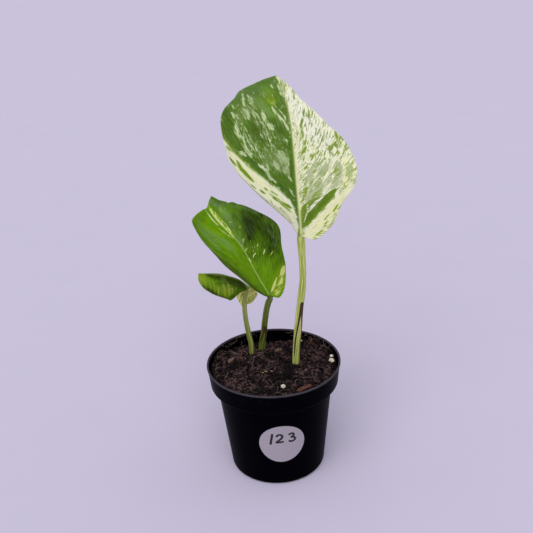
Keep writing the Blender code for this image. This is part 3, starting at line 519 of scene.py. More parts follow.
            (-0.1, 0.4, ((6, 39), (7.5, 40))),
            (-0.2, 0.4, ((3, 29.5), (4.5, 31), (6, 31.5))),
            (-0.2, 0.4, ((10, 28.5), (11.5, 29.5), (13, 31))),
            (1.2, 2.2, ((6.5, 46.5), (4.5, 36), (9.5, 32))),
            (0.3, 0.4, ((14, 25), (17.5, 27.5))),
            (0, 0.6, ((0.5, 30.5), (0.5, 27.5))),
            (0.75, 4.3, ((19, 11), (11.5, 3.5), (3.5, -0.5))),
            (-1, 1.4, ((19, 12.5), (14.5, 8))),
            (-0.9, 0.7, ((11, 8.5), (6.5, 5), (2.5, 2))),
            (-1, 0.9, ((13.5, 5.5), (10, 1.5))),
            (1.4, 0.6, ((12.5, 9.5), (8.5, 4.5))),
            (1.3, 0.5, ((16, 6.5), (13, 3))),
            (1.3, 0.7, ((6.5, 2), (8.5, -0.5))),
            (-0.5, 0.5, ((8.5, 1), (5, -1.5))),
            (0.7, 2.2, ((14, 3), (9.5, 0), (4.5, -1.5))))),
        # On this leaf the sage marks are painted sheen: grey-green streaks of glancing light
        sage_and_sheen=(-0.6, -0.4, (
            (-1.3, 5.0, ((19, 55), (13.5, 46), (15.5, 38.5))),
            (1.2, 1.7, ((-12.5, 71), (-15.5, 65), (-14.5, 56.5), (-15, 45))),
            (1.3, 2.8, ((-10.5, 66.5), (-9.5, 56), (-6.5, 41))),
            (1.2, 2.2, ((2.5, 56.5), (1.5, 48), (0, 37))),
            (0.7, 1.9, ((11.5, 72.5), (19, 57), (23.5, 46.5), (26.5, 38.5))),
            (0.6, 1.9, ((-19.5, 65), (-26.5, 53), (-25, 40), (-19.5, 27))),
            (1.5, 1.9, ((0.5, 86), (5.5, 75.5))),
            (0.8, 2.2, ((-11, 56), (-9.5, 47), (-6.5, 36))),
            (1.2, 2.8, ((6, 78.5), (7.5, 64), (5.5, 53))),
            (0.5, 4.3, ((23, 45.5), (23.5, 36), (20.5, 29))),
            (-1, 1.9, ((0, 78), (1.5, 66.5), (1, 57.5), (0, 47))),
            (-1, 3.7, ((16.5, 11), (10, 4), (3.5, 0))))),
        # On this leaf the deep level and marks are mostly painted shade: its right half is darker
        # where it faces away from the light
        deep_and_shade=(0.3, 0.55, (
            (0.1, 3.7, ((-6.5, 71), (-4.5, 61.5), (-5, 49), (-5, 30.5), (-3.5, 9))),
            (1.2, 3.7, ((17.5, 54), (13.5, 46), (7, 40.5))),
            (1, 5.0, ((16, 54), (21, 44), (20, 33.5), (15.5, 28.5))),
            (0.3, 4.3, ((8.5, 72.5), (6.5, 60.5))),
            (0, 5.0, ((1, 24.5), (7.5, 18.5), (2, 9))),
            (-1, 5.0, ((17, 10.5), (10, 2.5), (4.5, -0.5))))),
        yellow=(0, 0, (
            (0.6, 2.5, ((-12, 68), (-7.5, 61), (-6, 54))),
            (0.5, 3.1, ((-9, 36), (-3.5, 15.5))),
            (0.5, 2.5, ((0, 78), (1.5, 66.5), (1, 57.5), (0, 47))),
            (1, 4.7, ((17, 12), (11, 5), (3, 0.5))),
            (1, 3.1, ((13.5, 4), (8.5, 0), (4, -1)))))),
    "leaf_small": dict(
        green=(1.6, 0.45, (
            (1.9, 9.0, ((6, 18), (8, 28), (6, 38))),
            (-0.6, 1.0, ((13, -12), (9, -11), (4, -8))),
            (0.9, 0.8, ((12.5, -8), (8.5, -8.5), (3, -5.5))),
            (0.4, 0.4, ((-9, 25.5), (-14, 23))),
            (0.1, 0.4, ((-6.5, 21.5), (-10.5, 19))),
            (0.2, 0.4, ((-5, 17), (-13.5, 12.5))),
            (0.1, 0.3, ((-6.5, 14), (-11.5, 9.5))))),
        # On this leaf the sage marks are painted sheen, and the deep marks by the midrib are
        # painted shade along the top of its curve
        sage_and_sheen=(-0.2, 0, (
            (1.4, 1.6, ((-2.5, 24), (-4, 20))),
            (0.8, 1.9, ((-8.5, 22), (-9.5, 10))))),
        deep_and_shade=(0.4, 0.3, (
            (-0.6, 2.8, ((-2, 40.5), (-6.5, 32.5), (-11.5, 25.5))),
            (1.7, 2.6, ((-1.5, 25), (-2, 14), (-1.5, 3))),
            (1.5, 1.7, ((-0.5, 35.5), (-1, 23.5))),
            (1.3, 1.2, ((-8, 38), (-13, 27.5), (-15, 15.5))))),
        yellow=(0.1, 0.5, (
            (0.9, 2.8, ((-1.5, 41), (-4.5, 36))),
            (0.7, 0.6, ((-2, 37.5), (-9, 35.5))),
            (0.7, 0.6, ((-2.5, 34), (-11, 31))),
            (0.8, 0.6, ((-4, 31), (-12, 27))),
            (0.6, 3.4, ((-10, 25), (-11, 17.5), (-10.5, 11.5))),
            (1.1, 0.5, ((-7.5, 26.5), (-14, 23))),
            (1.2, 0.5, ((-6, 22), (-14, 16.5))),
            (1.2, 0.5, ((-4.5, 18.5), (-14, 12.5))),
            (1.2, 0.4, ((-6.5, 14.5), (-12, 9.5))),
            (0.9, 0.4, ((-6.5, 10.5), (-9.5, 4)))))),
}

# Loose bits on the soil: x, y, length, width, thickness, turn and tilt in degrees
PERLITE = (
    (39.7, 6.4, 2.6, 2.2, 1.9, 20, 0),
    (39.3, 1.2, 4.4, 3.0, 2.8, -50, 10),
    (5.3, -22.0, 3.3, 2.8, 2.4, 10, 0),
    (20.6, 32.0, 2.2, 1.8, 1.6, 60, 0),
)
BARK = (
    (18.8, -24.5, 10.0, 3.8, 1.6, 28, 8),
    (27.2, 25.4, 5.2, 2.0, 1.3, 10, 76),
    (3.3, 23.0, 6.5, 3.0, 1.5, -35, 20),
    (-29.0, 9.5, 5.0, 3.0, 1.5, 40, 12),
)
REDDISH_BARK = (1, 2)
SPLINTER = (-4.4, -1.5, 7.4, 1.5, 1.1, 3, 4)

# Each bit is a ball made rough by broad noise and by pits; its number or seed picks the noise
PERLITE_RAGGED = 0.25
BARK_RAGGED = 0.5
SPLINTER_RAGGED = 0.3
BARK_SEED = 20
SPLINTER_SEED = 40
LUMP_FINENESS = 4
LUMP_WANDER_SCALE = 1.7
LUMP_PIT_SCALE = 5.0
LUMP_PITS = 0.4

PATH_STEPS = 24


def smooth_path(knots):
    """A centripetal Catmull-Rom curve through the knots, as an array of close points."""
    knots = np.array(knots, float)
    ends = (2 * knots[0] - knots[1], 2 * knots[-1] - knots[-2])
    padded = np.vstack([ends[0], knots, ends[1]])
    points = []
    for i in range(1, len(padded) - 2):
        p0, p1, p2, p3 = padded[i - 1:i + 3]
        t1 = np.linalg.norm(p1 - p0) ** 0.5
        t2 = t1 + np.linalg.norm(p2 - p1) ** 0.5
        t3 = t2 + np.linalg.norm(p3 - p2) ** 0.5
        for t in np.linspace(t1, t2, PATH_STEPS, endpoint=False):
            a1 = (t1 - t) / t1 * p0 + t / t1 * p1
            a2 = (t2 - t) / (t2 - t1) * p1 + (t - t1) / (t2 - t1) * p2
            a3 = (t3 - t) / (t3 - t2) * p2 + (t - t2) / (t3 - t2) * p3
            b1 = (t2 - t) / t2 * a1 + t / t2 * a2
            b2 = (t3 - t) / (t3 - t1) * a2 + (t - t1) / (t3 - t1) * a3
            points.append((t2 - t) / (t2 - t1) * b1 + (t - t1) / (t2 - t1) * b2)
    points.append(knots[-1])
    return np.array(points)


def lengths_along(path):
    steps = np.linalg.norm(np.diff(path[:, :3], axis=0), axis=1)
    return np.concatenate([[0.0], np.cumsum(steps)])


def read_at(path, along, wanted):
    columns = [np.interp(wanted, along, path[:, k]) for k in range(path.shape[1])]
    return np.stack(columns, axis=-1)


def resample(path, count):
    along = lengths_along(path)
    return read_at(path, along, np.linspace(0.0, along[-1], count))


def unit(vectors):
    return vectors / np.linalg.norm(vectors, axis=-1, keepdims=True)


def smooth_share(value):
    """0 below 0, 1 above 1, and an even curve between."""
    value = np.clip(value, 0.0, 1.0)
    return value * value * (3.0 - 2.0 * value)


# Materials

def rgb(red, green, blue):
    """A colour as it looks on a screen, from 0 to 255, as the linear values a shader takes."""
    shares = [value / 255.0 for value in (red, green, blue)]
    linear = [s / 12.92 if s <= 0.04045 else ((s + 0.055) / 1.055) ** 2.4 for s in shares]
    return (*linear, 1.0)


class Shading:
    """A material, with short calls that add nodes to it and give the socket they end in."""

    def __init__(self, name):
        self.material = bpy.data.materials.new(name)
        self.material.use_nodes = True
        self.tree = self.material.node_tree
        self.shader = self.tree.nodes["Principled BSDF"]

    def put(self, socket, value):
        if isinstance(value, bpy.types.NodeSocket):
            self.tree.links.new(value, socket)
        else:
            socket.default_value = value

    def add(self, kind, inputs, **settings):
        node = self.tree.nodes.new(kind)
        for key, value in settings.items():
            setattr(node, key, value)
        for key, value in inputs.items():
            self.put(node.inputs[key], value)
        return node

    def set(self, **inputs):
        """Give the shader its inputs, by their names with _ for a space."""
        for key, value in inputs.items():
            self.put(self.shader.inputs[key.replace("_", " ")], value)

    def math(self, operation, *values):
        return self.add("ShaderNodeMath", dict(enumerate(values)), operation=operation).outputs[0]

    def weigh(self, *pairs):
        """The sum of some values, each times its weight."""
        total = 0.0
        for value, weight in pairs:
            total = self.math("MULTIPLY_ADD", value, weight, total)
        return total

    def mix(self, share, first, second):
        inputs = {0: share, 6: first, 7: second}
        return self.add("ShaderNodeMix", inputs, data_type="RGBA").outputs[2]

    def step(self, value, low, high):
        """A smooth step from 0 at low to 1 at high."""
        inputs = {"Value": value, "From Min": low, "From Max": high}
        node = self.add("ShaderNodeMapRange", inputs, interpolation_type="SMOOTHSTEP")
        return node.outputs[0]

    def read(self, name):
        """A number that is kept on the mesh's points."""
        return self.add("ShaderNodeAttribute", {}, attribute_name=name).outputs["Fac"]

    def place(self):
        """Place on the object, in metres."""
        return self.add("ShaderNodeTexCoord", {}).outputs["Object"]

    def join(self, x, y, z):
        return self.add("ShaderNodeCombineXYZ", {0: x, 1: y, 2: z}).outputs[0]

    def split(self, vector):
        return self.add("ShaderNodeSeparateXYZ", {0: vector}).outputs

    def grain(self, size, detail=3.0, roughness=0.55, at=None):
        """Noise about 0.5 with features of a size in millimetres, or of 1 at a given place."""
        scale = 1.0 if at else 1.0 / (size * MM)
        inputs = {"Vector": at or self.place(), "Scale": scale, "Detail": detail,
                  "Roughness": roughness}
        return self.add("ShaderNodeTexNoise", inputs).outputs[0]

    def streaks(self, across, along, shift=0.0):
        """Noise drawn out along a leaf's side veins, from how fast it changes across and along."""
        side = self.math("ADD", self.read("side"), shift)
        wander = self.weigh((self.grain(STREAK_WANDER_SIZE, 2), STREAK_WANDER),
                            (self.read("across"), 1.0))
        place = self.join(self.math("MULTIPLY", wander, across),
                          self.math("MULTIPLY", self.read("along"), along), side)
        return self.grain(1, 2, 0.5, at=place)

    def streaked(self, level, *streaks):
        """A level of the marbling, moved up and down by streaks that each have a share."""
        moves = [(streak, share * STREAK_GAIN) for streak, share in streaks]
        return self.weigh(*moves, (level, 1.0), (1.0, -0.5 * STREAK_GAIN))

    def cells(self, size):
        """Distance to the middle of the nearest cell, in cells of a size in millimetres."""
        inputs = {"Vector": self.place(), "Scale": 1.0 / (size * MM)}
        return self.add("ShaderNodeTexVoronoi", inputs).outputs["Distance"]

    def stretched(self, *scales):
        """Place on the object with a scale for each axis, for noise drawn out one way."""
        inputs = {0: self.place(), 1: scales}
        return self.add("ShaderNodeVectorMath", inputs, operation="MULTIPLY").outputs[0]

    def bump(self, height, distance, strength=1.0):
        """Raise the shader's surface by a height of 0 to 1 times a distance in millimetres."""
        inputs = {"Height": height, "Distance": distance * MM, "Strength": strength}
        self.put(self.shader.inputs["Normal"], self.add("ShaderNodeBump", inputs).outputs[0])


def green_tissue(s, look, green, sage_and_sheen_share, veil, lines, right):
    """The green parts: deeper in patches, partly as painted shade, veiled with sage and painted
    sheen, and paler where the green is faint.
    """
    dark_lines = s.step(lines, 0.48, 0.36)
    # Deep green, and on the medium and small leaves painted shade
    depth = s.weigh((s.read("deep_and_shade"), 0.9), (s.grain(5.0, 3), 0.5), (veil, 0.9), (dark_lines, 0.25),
                    (1.0, -0.72))
    # Grey-green veils: the leaf's own sage with painted sheen, and light lines
    veil_and_sheen = s.weigh((sage_and_sheen_share, 0.3), (s.step(lines, 0.50, 0.66), look["lined"]))
    faint = s.math("MULTIPLY", s.step(green, 1.3, 0.7), s.weigh((right, 0.75), (1.0, 0.12)))
    tissue = s.mix(depth, look["bright"], look["deep_and_shade"])
    tissue = s.mix(veil_and_sheen, tissue, look["sage_and_sheen"])
    tissue = s.mix(faint, tissue, look["faint"])
    return s.mix(s.read("yellow"), tissue, look["yellow"])


def pale_tissue(s, look, green, sage_and_sheen_share, lines, right):
    """The cream parts, with light green flecks where they lie in the green of the left half."""
    veiled = s.math("MULTIPLY", s.step(green, -0.2, 0.15), s.math("SUBTRACT", 1.0, right))
    # The cream is greyed by sage and painted sheen, and by dark lines
    shaded = s.weigh((sage_and_sheen_share, 0.65), (s.step(lines, 0.48, 0.36), 0.35))
    pale = s.mix(s.read("yellow"), look["cream"], look["warm"])
    pale = s.mix(s.math("MULTIPLY", veiled, look["veiled"]), pale, look["fleck"])
    return s.mix(shaded, pale, look["sage_and_sheen"])


def leaf_material(name, look):
    """Leaf tissue with cream and green streaks that run with the side veins."""
    s = Shading(name)
    broad, narrow, speck = s.streaks(0.4, 0.1), s.streaks(1.0, 0.25), s.streaks(1.9, 0.6)
    veil, lines = s.streaks(0.4, 0.12, 9.0), s.streaks(1.6, 0.2, 5.0)
    green, sage_and_sheen, under = s.read("green"), s.read("sage_and_sheen"), s.read("under")
    right = s.step(s.read("side"), -SIDE_APART / 2, SIDE_APART / 2)
    greenness = s.step(s.streaked(green, (broad, 0.24), (narrow, 0.44), (speck, 0.32)), 0.40, 0.60)
    sage_and_sheen_share = s.step(s.streaked(sage_and_sheen, (veil, 0.35), (narrow, 0.4), (speck, 0.25)), 0.3, 0.7)
    pale = pale_tissue(s, look, green, sage_and_sheen_share, lines, right)
    tissue = green_tissue(s, look, green, sage_and_sheen_share, veil, lines, right)
    colour = s.mix(greenness, pale, tissue)
    colour = s.mix(s.math("MULTIPLY", s.read("rib"), 0.85), colour, look["rib"])
    colour = s.mix(s.step(s.read("edge"), 0.3, -0.4), colour, look["rib"])
    lower = s.mix(greenness, look["under"], look["under_green"])
    colour = s.mix(s.math("MULTIPLY", under, look["bare"]), colour, lower)
    gloss = s.weigh((s.grain(4.0, 3), 0.16), (under, 0.2), (1.0, 0.27))
    s.set(Base_Color=colour, Roughness=gloss, IOR=1.45, Specular_IOR_Level=look["shine"])
    s.bump(s.weigh((s.grain(0.35, 2), 0.3), (lines, 0.4), (narrow, 0.3)), 0.06, 0.5)
    return s.material


def stalk_material():
    """Fleshy green stalk, striped along its length, with dry brown edges along its sheath, widened
    near its top into a painted shadow of the slot between them.
    """
    s = Shading("stalk_green")
    around, height, tone = s.read("around"), s.read("height"), s.read("tone")

    def lengthwise(across, along, plane, detail):
        place = s.join(s.math("MULTIPLY", around, across), s.math("MULTIPLY", height, along), plane)
        return s.grain(1, detail, at=place)

    broad, fine = lengthwise(0.7, 0.03, tone, 2), lengthwise(2.5, 0.12, 0.0, 3)
    stripes = s.weigh((broad, 0.75), (fine, 0.25))
    light = s.mix(s.step(stripes, 0.38, 0.62), rgb(134, 149, 56), rgb(202, 208, 124))
    dark = s.mix(s.step(stripes, 0.38, 0.62), rgb(36, 48, 0), rgb(86, 102, 18))
    colour = s.mix(tone, light, dark)
    colour = s.mix(s.math("MULTIPLY", s.read("inner"), 0.8), colour, rgb(188, 186, 122))
    brown = s.step(s.weigh((s.read("sheath"), 1.0), (fine, 0.5), (1.0, -0.25)), 0.3, 0.55)
    colour = s.mix(brown, colour, s.mix(fine, rgb(30, 19, 12), rgb(84, 58, 38)))
    specks = s.step(s.cells(2.2), 0.12, 0.06)
    colour = s.mix(s.math("MULTIPLY", specks, 0.6), colour, rgb(60, 64, 28))
    s.set(Base_Color=colour, Roughness=s.weigh((fine, 0.2), (s.read("sheath"), 0.35), (1.0, 0.28)),
          Specular_IOR_Level=0.3)
    s.bump(fine, 0.12, 0.6)
    return s.material


def plastic_material():
    """Black moulded plastic, satin, with a fine moulded grain, a little soil dust by the rim and a
    painted highlight along the lip.
    """
    s = Shading("pot_black")
    dust = s.step(s.grain(5.0, 5, 0.7), 0.56, 0.78)
    height = s.split(s.place())[2]
    near_rim = s.step(height, 66.0 * MM, 79.0 * MM)
    colour = s.mix(s.grain(20.0), rgb(1, 1, 5), rgb(4, 4, 9))
    dusty = s.math("MULTIPLY", s.math("MULTIPLY", dust, near_rim), 0.2)
    colour = s.mix(dusty, colour, rgb(60, 54, 54))
    # Painted highlight: a grey band along the lip, broken a little by noise, stands in for the
    # light caught on its edge
    on_lip = s.step(height, 76.9 * MM, 77.3 * MM)
    lip_highlight = s.math("MULTIPLY", on_lip, s.step(s.grain(4.0, 3), 0.0, 0.5))
    colour = s.mix(lip_highlight, colour, rgb(70, 64, 72))
    s.set(Base_Color=colour, Roughness=s.weigh((s.grain(3.0, 4), 0.12), (1.0, 0.3)), IOR=1.46,
          Specular_IOR_Level=0.008)
    s.bump(s.grain(0.5, 2), 0.02, 0.6)
    return s.material


def paper_material():
    s = Shading("label_paper")
    fibres = s.grain(1, 4, 0.65, at=s.stretched(900, 900, 3200))
    # Painted shade: the paper is a mid grey rather than white, as it looks in the shade on the
    # pot's front
    colour = s.mix(fibres, rgb(156, 149, 158), rgb(170, 163, 172))
    s.set(Base_Color=colour, Roughness=0.62)
    s.bump(fibres, 0.02, 0.5)
    return s.material


def ink_material():
    s = Shading("label_ink")
    s.set(Base_Color=s.mix(s.grain(0.8, 3), rgb(4, 4, 9), rgb(18, 17, 26)), Roughness=0.6)
    return s.material


def peat_material():
    """Dark moist peat: near-black, with browner crumbs and pale flecks by a tone on the mesh."""
    s = Shading("peat_soil")
    tone = s.read("tone")
    grain = s.grain(0.7, 4, 0.7)
    colour = s.mix(s.step(grain, 0.35, 0.65), rgb(3, 2, 2), rgb(26, 15, 17))
    browner = s.mix(grain, rgb(34, 18, 22), rgb(104, 76, 78))
    colour = s.mix(s.step(tone, 0.36, 0.86), colour, browner)
    colour = s.mix(s.step(tone, 0.88, 0.98), colour, rgb(168, 148, 140))
    s.set(Base_Color=colour, Roughness=s.weigh((grain, 0.4), (1.0, 0.35)), Specular_IOR_Level=0.12)
    s.bump(s.weigh((grain, 0.6), (s.grain(0.25, 3), 0.4)), 0.35, 0.9)
    return s.material


def fibre_material():
    s = Shading("root_fibre")
    colour = s.mix(s.read("tone"), rgb(34, 24, 20), rgb(132, 112, 100))
    colour = s.mix(s.step(s.grain(1.5), 0.5, 0.7), colour, rgb(50, 37, 30))
    s.set(Base_Color=colour, Roughness=0.75)
    return s.material


def perlite_material():
    s = Shading("perlite_white")
    pits = s.cells(0.5)
    colour = s.mix(s.step(pits, 0.2, 0.7), rgb(236, 230, 216), rgb(206, 196, 178))
    colour = s.mix(s.step(s.grain(1.2), 0.55, 0.75), colour, rgb(150, 128, 104))
    s.set(Base_Color=colour, Roughness=0.85)
    s.bump(pits, 0.2, 0.8)
    return s.material


def bark_material(name, dark, pale):
    s = Shading(name)
    layers = s.grain(1, 4, 0.7, at=s.stretched(700, 1900, 2600))
    s.set(Base_Color=s.mix(s.step(layers, 0.3, 0.7), dark, pale), Roughness=0.8)
    s.bump(layers, 0.3, 0.9)
    return s.material


# Meshes

def put_in_scene(name, data):
    thing = bpy.data.objects.new(name, data)
    bpy.context.scene.collection.objects.link(thing)
    return thing


def add_piece(name, points, faces, material, values=None):
    """A named piece from points in millimetres, with numbers kept on its points for the shader."""
    mesh = bpy.data.meshes.new(name)
    mesh.from_pydata((np.asarray(points, float) * MM).tolist(), [], faces)
    for key, data in (values or {}).items():
        layer = mesh.attributes.new(key, "FLOAT", "POINT")
        layer.data.foreach_set("value", np.asarray(data, np.float32).ravel())
    mesh.materials.append(material)
    bm = bmesh.new()
    bm.from_mesh(mesh)
    bmesh.ops.recalc_face_normals(bm, faces=bm.faces)
    bm.to_mesh(mesh)
    bm.free()
    mesh.shade_smooth()
    piece = put_in_scene(name, mesh)
    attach(piece, "root")
    return piece


def sheet_faces(rows, columns, start=0, flip=False):
    """Quads over a grid of points."""
    faces = []
    for r in range(rows - 1):
        for c in range(columns - 1):
            a, b = start + r * columns + c, start + (r + 1) * columns + c
            face = (a, b, b + 1, a + 1)
            faces.append(face[::-1] if flip else face)
    return faces


def ring_faces(rings, sides, start=0):
    """Quads over rings of points that close on themselves."""
    faces = []
    for ring in range(rings - 1):
        for side in range(sides):
            a, b = start + ring * sides, start + (ring + 1) * sides
            there = (side + 1) % sides
            faces.append((a + side, b + side, b + there, a + there))
    return faces


def capped_rings(rings, sides):
    """Faces over rings that have one point before them and one after."""
    faces = ring_faces(rings, sides, 1)
    last = 1 + (rings - 1) * sides
    for side in range(sides):
        there = (side + 1) % sides
        faces.append((0, 1 + side, 1 + there))
        faces.append((last + there, last + side, last + sides))
    return faces


# Leaves

def leaf_frame(midrib, along, facing, s):
    """Place, direction, upper face and right-hand side of the leaf at distance s on its midrib."""
    end = along[-1]
    inside = np.clip(s, 0.0, end)
    place = read_at(midrib, along, inside)
    ahead = read_at(midrib, along, np.clip(inside + TANGENT_REACH, 0.0, end))
    behind = read_at(midrib, along, np.clip(inside - TANGENT_REACH, 0.0, end))
    tangent = unit(ahead - behind)
    place = place + (s - inside)[..., None] * tangent
    face = unit(facing - (tangent * facing).sum(axis=-1, keepdims=True) * tangent)
    return place, tangent, face, np.cross(tangent, face)


def spread_along(share, values):
    """A value for each share of the way from base to tip, from values at even stations."""
    return np.interp(share, np.linspace(0.0, 1.0, len(values)), values)


def leaf_columns(count):
    """Shares from midrib to margin, closer together by the midrib, and one close to the margin."""
    even = np.linspace(0.0, 1.0, count) ** COLUMN_CROWDING
    even[-2] = LAST_COLUMN
    return even


def vein_reach(out):
    """How far along its way forward a side vein is, from how far out it is."""
    return VEIN_START * out + (1 - VEIN_START) * out ** 2


def section(spec, half, row, column, t):
    """How far out and up each point of a half lies once it is folded, bent, rolled and waved."""
    rolled = np.clip((column - spec["roll_from"]) / (1 - spec["roll_from"]), 0.0, 1.0) ** ROLL_EASE
    slope = (spread_along(row, half["fold"]) + spread_along(row, half["bend"]) * column
             + spread_along(row, half["roll"]) * rolled)
    slope = np.radians((slope[:, 1:] + slope[:, :-1]) / 2)
    step = np.diff(t, axis=1)
    nothing = np.zeros((len(row), 1))
    out = np.hstack([nothing, np.cumsum(np.cos(slope) * step, axis=1)])
    up = np.hstack([nothing, np.cumsum(np.sin(slope) * step, axis=1)])
    height, waves, phase = half["wave"]
    swing = np.sqrt(np.sin(math.pi * np.clip(row, 0, 1)))
    ripple = np.sin(2 * math.pi * waves * row + phase) * swing
    return out, up + height * column ** 2 * ripple


def leaf_half(spec, half, sign):
    """Middle surface of one half: rows run like the side veins, columns from midrib to margin."""
    rows, columns = spec["grid"]
    midrib = smooth_path(spec["midrib"])
    along = lengths_along(midrib)
    outline = smooth_path(half["outline"] + ((along[-1], 0.0),))
    margin = resample(outline, rows)
    row = np.linspace(0.0, 1.0, rows)[:, None]
    column = leaf_columns(columns)[None, :]
    start = along[-1] * row ** spec["vein_bunch"]
    s = start + (margin[:, :1] - start) * vein_reach(column)
    t = margin[:, 1:] * column
    out, up = section(spec, half, row, column, t)
    place, _, face, side = leaf_frame(midrib, along, np.array(spec["facing"]), s)
    surface = place + sign * out[..., None] * side + up[..., None] * face
    across, outwards = streak_place(s, t, outline, along[-1], half["streak_bunch"])
    fields = dict(s=s, t=t, side=np.full(s.shape, sign), across=across, along=outwards,
                  edge=margin[:, 1:] - t, ease=column * (1 - column) * 4)
    return surface, fields


def streak_place(s, t, outline, length, bunch):
    """For each point, how far round the margin its streak ends, and how far out along it."""
    share = np.linspace(0.0, 1.0, STREAK_SAMPLES)
    margin = resample(outline, STREAK_SAMPLES)
    round_margin = lengths_along(outline)[-1]
    reach = np.maximum(margin[:, 1], 1e-3)
    start = length * share ** bunch
    out = t.ravel()[:, None] / reach
    streak_s = start + (margin[:, 0] - start) * vein_reach(out)
    miss = s.ravel()[:, None] - streak_s
    inside = out <= 1.0 + 1e-6
    reached = inside & (miss >= 0.0)
    last = STREAK_SAMPLES - 1 - np.argmax(reached[:, ::-1], axis=1)
    last = np.where(reached.any(axis=1), np.minimum(last, STREAK_SAMPLES - 2), 0)
    pick = np.arange(len(last))
    here, there = miss[pick, last], miss[pick, last + 1]
    part = np.where(inside[pick, last + 1] & (here != there), here / (here - there + 1e-9), 0.5)
    across = (last + np.clip(part, 0.0, 1.0)) / (STREAK_SAMPLES - 1) * round_margin
    streak_length = np.hypot(reach, margin[:, 0] - start)[last]
    return across.reshape(s.shape), (out[pick, last] * streak_length).reshape(s.shape)


def away_from(route, x, y):
    """Distance of each point from a route of straight runs, and how far along the route it lies."""
    nearest, place = np.full(x.shape, np.inf), np.zeros(x.shape)
    runs = len(route) - 1
    for k, ((x0, y0), (x1, y1)) in enumerate(zip(route, route[1:])):
        dx, dy = x1 - x0, y1 - y0
        share = np.clip(((x - x0) * dx + (y - y0) * dy) / (dx * dx + dy * dy), 0.0, 1.0)
        away = np.hypot(x - x0 - share * dx, y - y0 - share * dy)
        place = np.where(away < nearest, (k + share) / runs, place)
        nearest = np.minimum(nearest, away)
    return nearest, place


def painted(kind, softness, s, t, side):
    """The level of one marking at each point: its half's level, with each mark laid over."""
    left, right, marks = kind
    level = np.where(side < 0, left, right)
    for value, half_width, route in marks:
        away, place = away_from(route, side * t, s)
        spindle = half_width * (MARK_END + (1 - MARK_END) * np.sin(math.pi * place) ** 0.6)
        edge = MARK_EDGE + softness * half_width
        share = smooth_share((spindle + edge - away) / (2 * edge))
        level = level * (1 - share) + value * share
    return level


def mirrored(left, right):
    """One array across the leaf, from the left margin over the midrib to the right margin."""
    return np.concatenate([left[:, :0:-1], right], axis=1)


def swell(points, seed):
    """A soft unevenness for each point."""
    rows, columns = points.shape[:2]
    flat = points.reshape(-1, 3) / SWELL_SIZE
    values = [noise.noise(Vector((x, y, z + seed))) for x, y, z in flat]
    return np.array(values).reshape(rows, columns)


def leaf_faces(spec, middle, fields, seed):
    """The leaf's upper and lower face round its middle surface, and how near the rib they are."""
    s, t = fields["s"], fields["t"]
    length = lengths_along(smooth_path(spec["midrib"]))[-1]
    normal = np.cross(np.gradient(middle, axis=0), np.gradient(middle, axis=1))
    normal = -unit(normal + 1e-12)
    taper = (1 - s / length).clip(0, 1) ** RIDGE_TAPER
    calm = fields["ease"] * np.sin(math.pi * np.linspace(0, 1, len(s)))[:, None]
    middle = middle + (swell(middle, seed) * SWELL_HEIGHT * calm)[..., None] * normal
    veins = np.cos(2 * math.pi * SIDE_VEINS * fields["across"] / np.ptp(fields["across"]))
    veins = SIDE_VEIN_DEPTH * calm * np.clip(veins, 0, 1) ** SIDE_VEIN_SHARPNESS
    inward = smooth_share(fields["edge"] / EDGE_WIDTH)
    half_thick = EDGE_THICK / 2 + (LEAF_THICK - EDGE_THICK) / 2 * inward
    rib = taper * np.exp(-(t / (spec["rib_width"] * (1.0 + taper))) ** 2)
    ridge = RIDGE_DEPTH * taper * np.exp(-(t / RIDGE_WIDTH) ** 2)
    upper = middle + (half_thick - veins - MIDRIB_GROOVE * rib)[..., None] * normal
    lower = middle - (half_thick + veins + ridge)[..., None] * normal
    return upper, lower, rib


def rim_faces(rows, columns):
    """Quads that join two grids of points, one after the other, all round their rim."""
    under = rows * columns
    rim = [r * columns for r in range(rows)] + [under - columns + c for c in range(1, columns)]
    rim += [r * columns + columns - 1 for r in range(rows - 2, -1, -1)]
    rim += list(range(columns - 2, 0, -1))
    return [(a, a + under, b + under, b) for a, b in zip(rim, rim[1:] + rim[:1])]


def make_leaf(name, spec, material, seed):
    left, left_fields = leaf_half(spec, spec["left"], -1.0)
    right, right_fields = leaf_half(spec, spec["right"], 1.0)
    middle = mirrored(left, right)
    fields = {key: mirrored(left_fields[key], right_fields[key]) for key in left_fields}
    s, t, side = fields["s"], fields["t"], fields["side"]
    rows, columns = s.shape
    under = rows * columns
    upper, lower, rib = leaf_faces(spec, middle, fields, seed)
    points = np.concatenate([upper.reshape(-1, 3), lower.reshape(-1, 3)])
    faces = sheet_faces(rows, columns) + sheet_faces(rows, columns, under, flip=True)
    faces += rim_faces(rows, columns)
    values = {key: painted(kind, MARK_SOFTNESS[key], s, t, side)
              for key, kind in MARKS[name].items()}
    values.update(across=fields["across"], along=fields["along"], side=SIDE_APART * side, rib=rib,
                  edge=fields["edge"])
    values = {key: np.tile(data.ravel(), 2) for key, data in values.items()}
    values["under"] = np.repeat((0.0, 1.0), under)
    leaf = add_piece(name, points, faces, material, values)
    weld(leaf)
    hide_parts(spec["node"])


def weld(piece):
    """Join points that lie in one place, such as a leaf's rows at its tip."""
    bm = bmesh.new()
    bm.from_mesh(piece.data)
    bmesh.ops.remove_doubles(bm, verts=bm.verts, dist=WELD_REACH * MM)
    bmesh.ops.recalc_face_normals(bm, faces=bm.faces)
    bm.to_mesh(piece.data)
    bm.free()


# Stalks

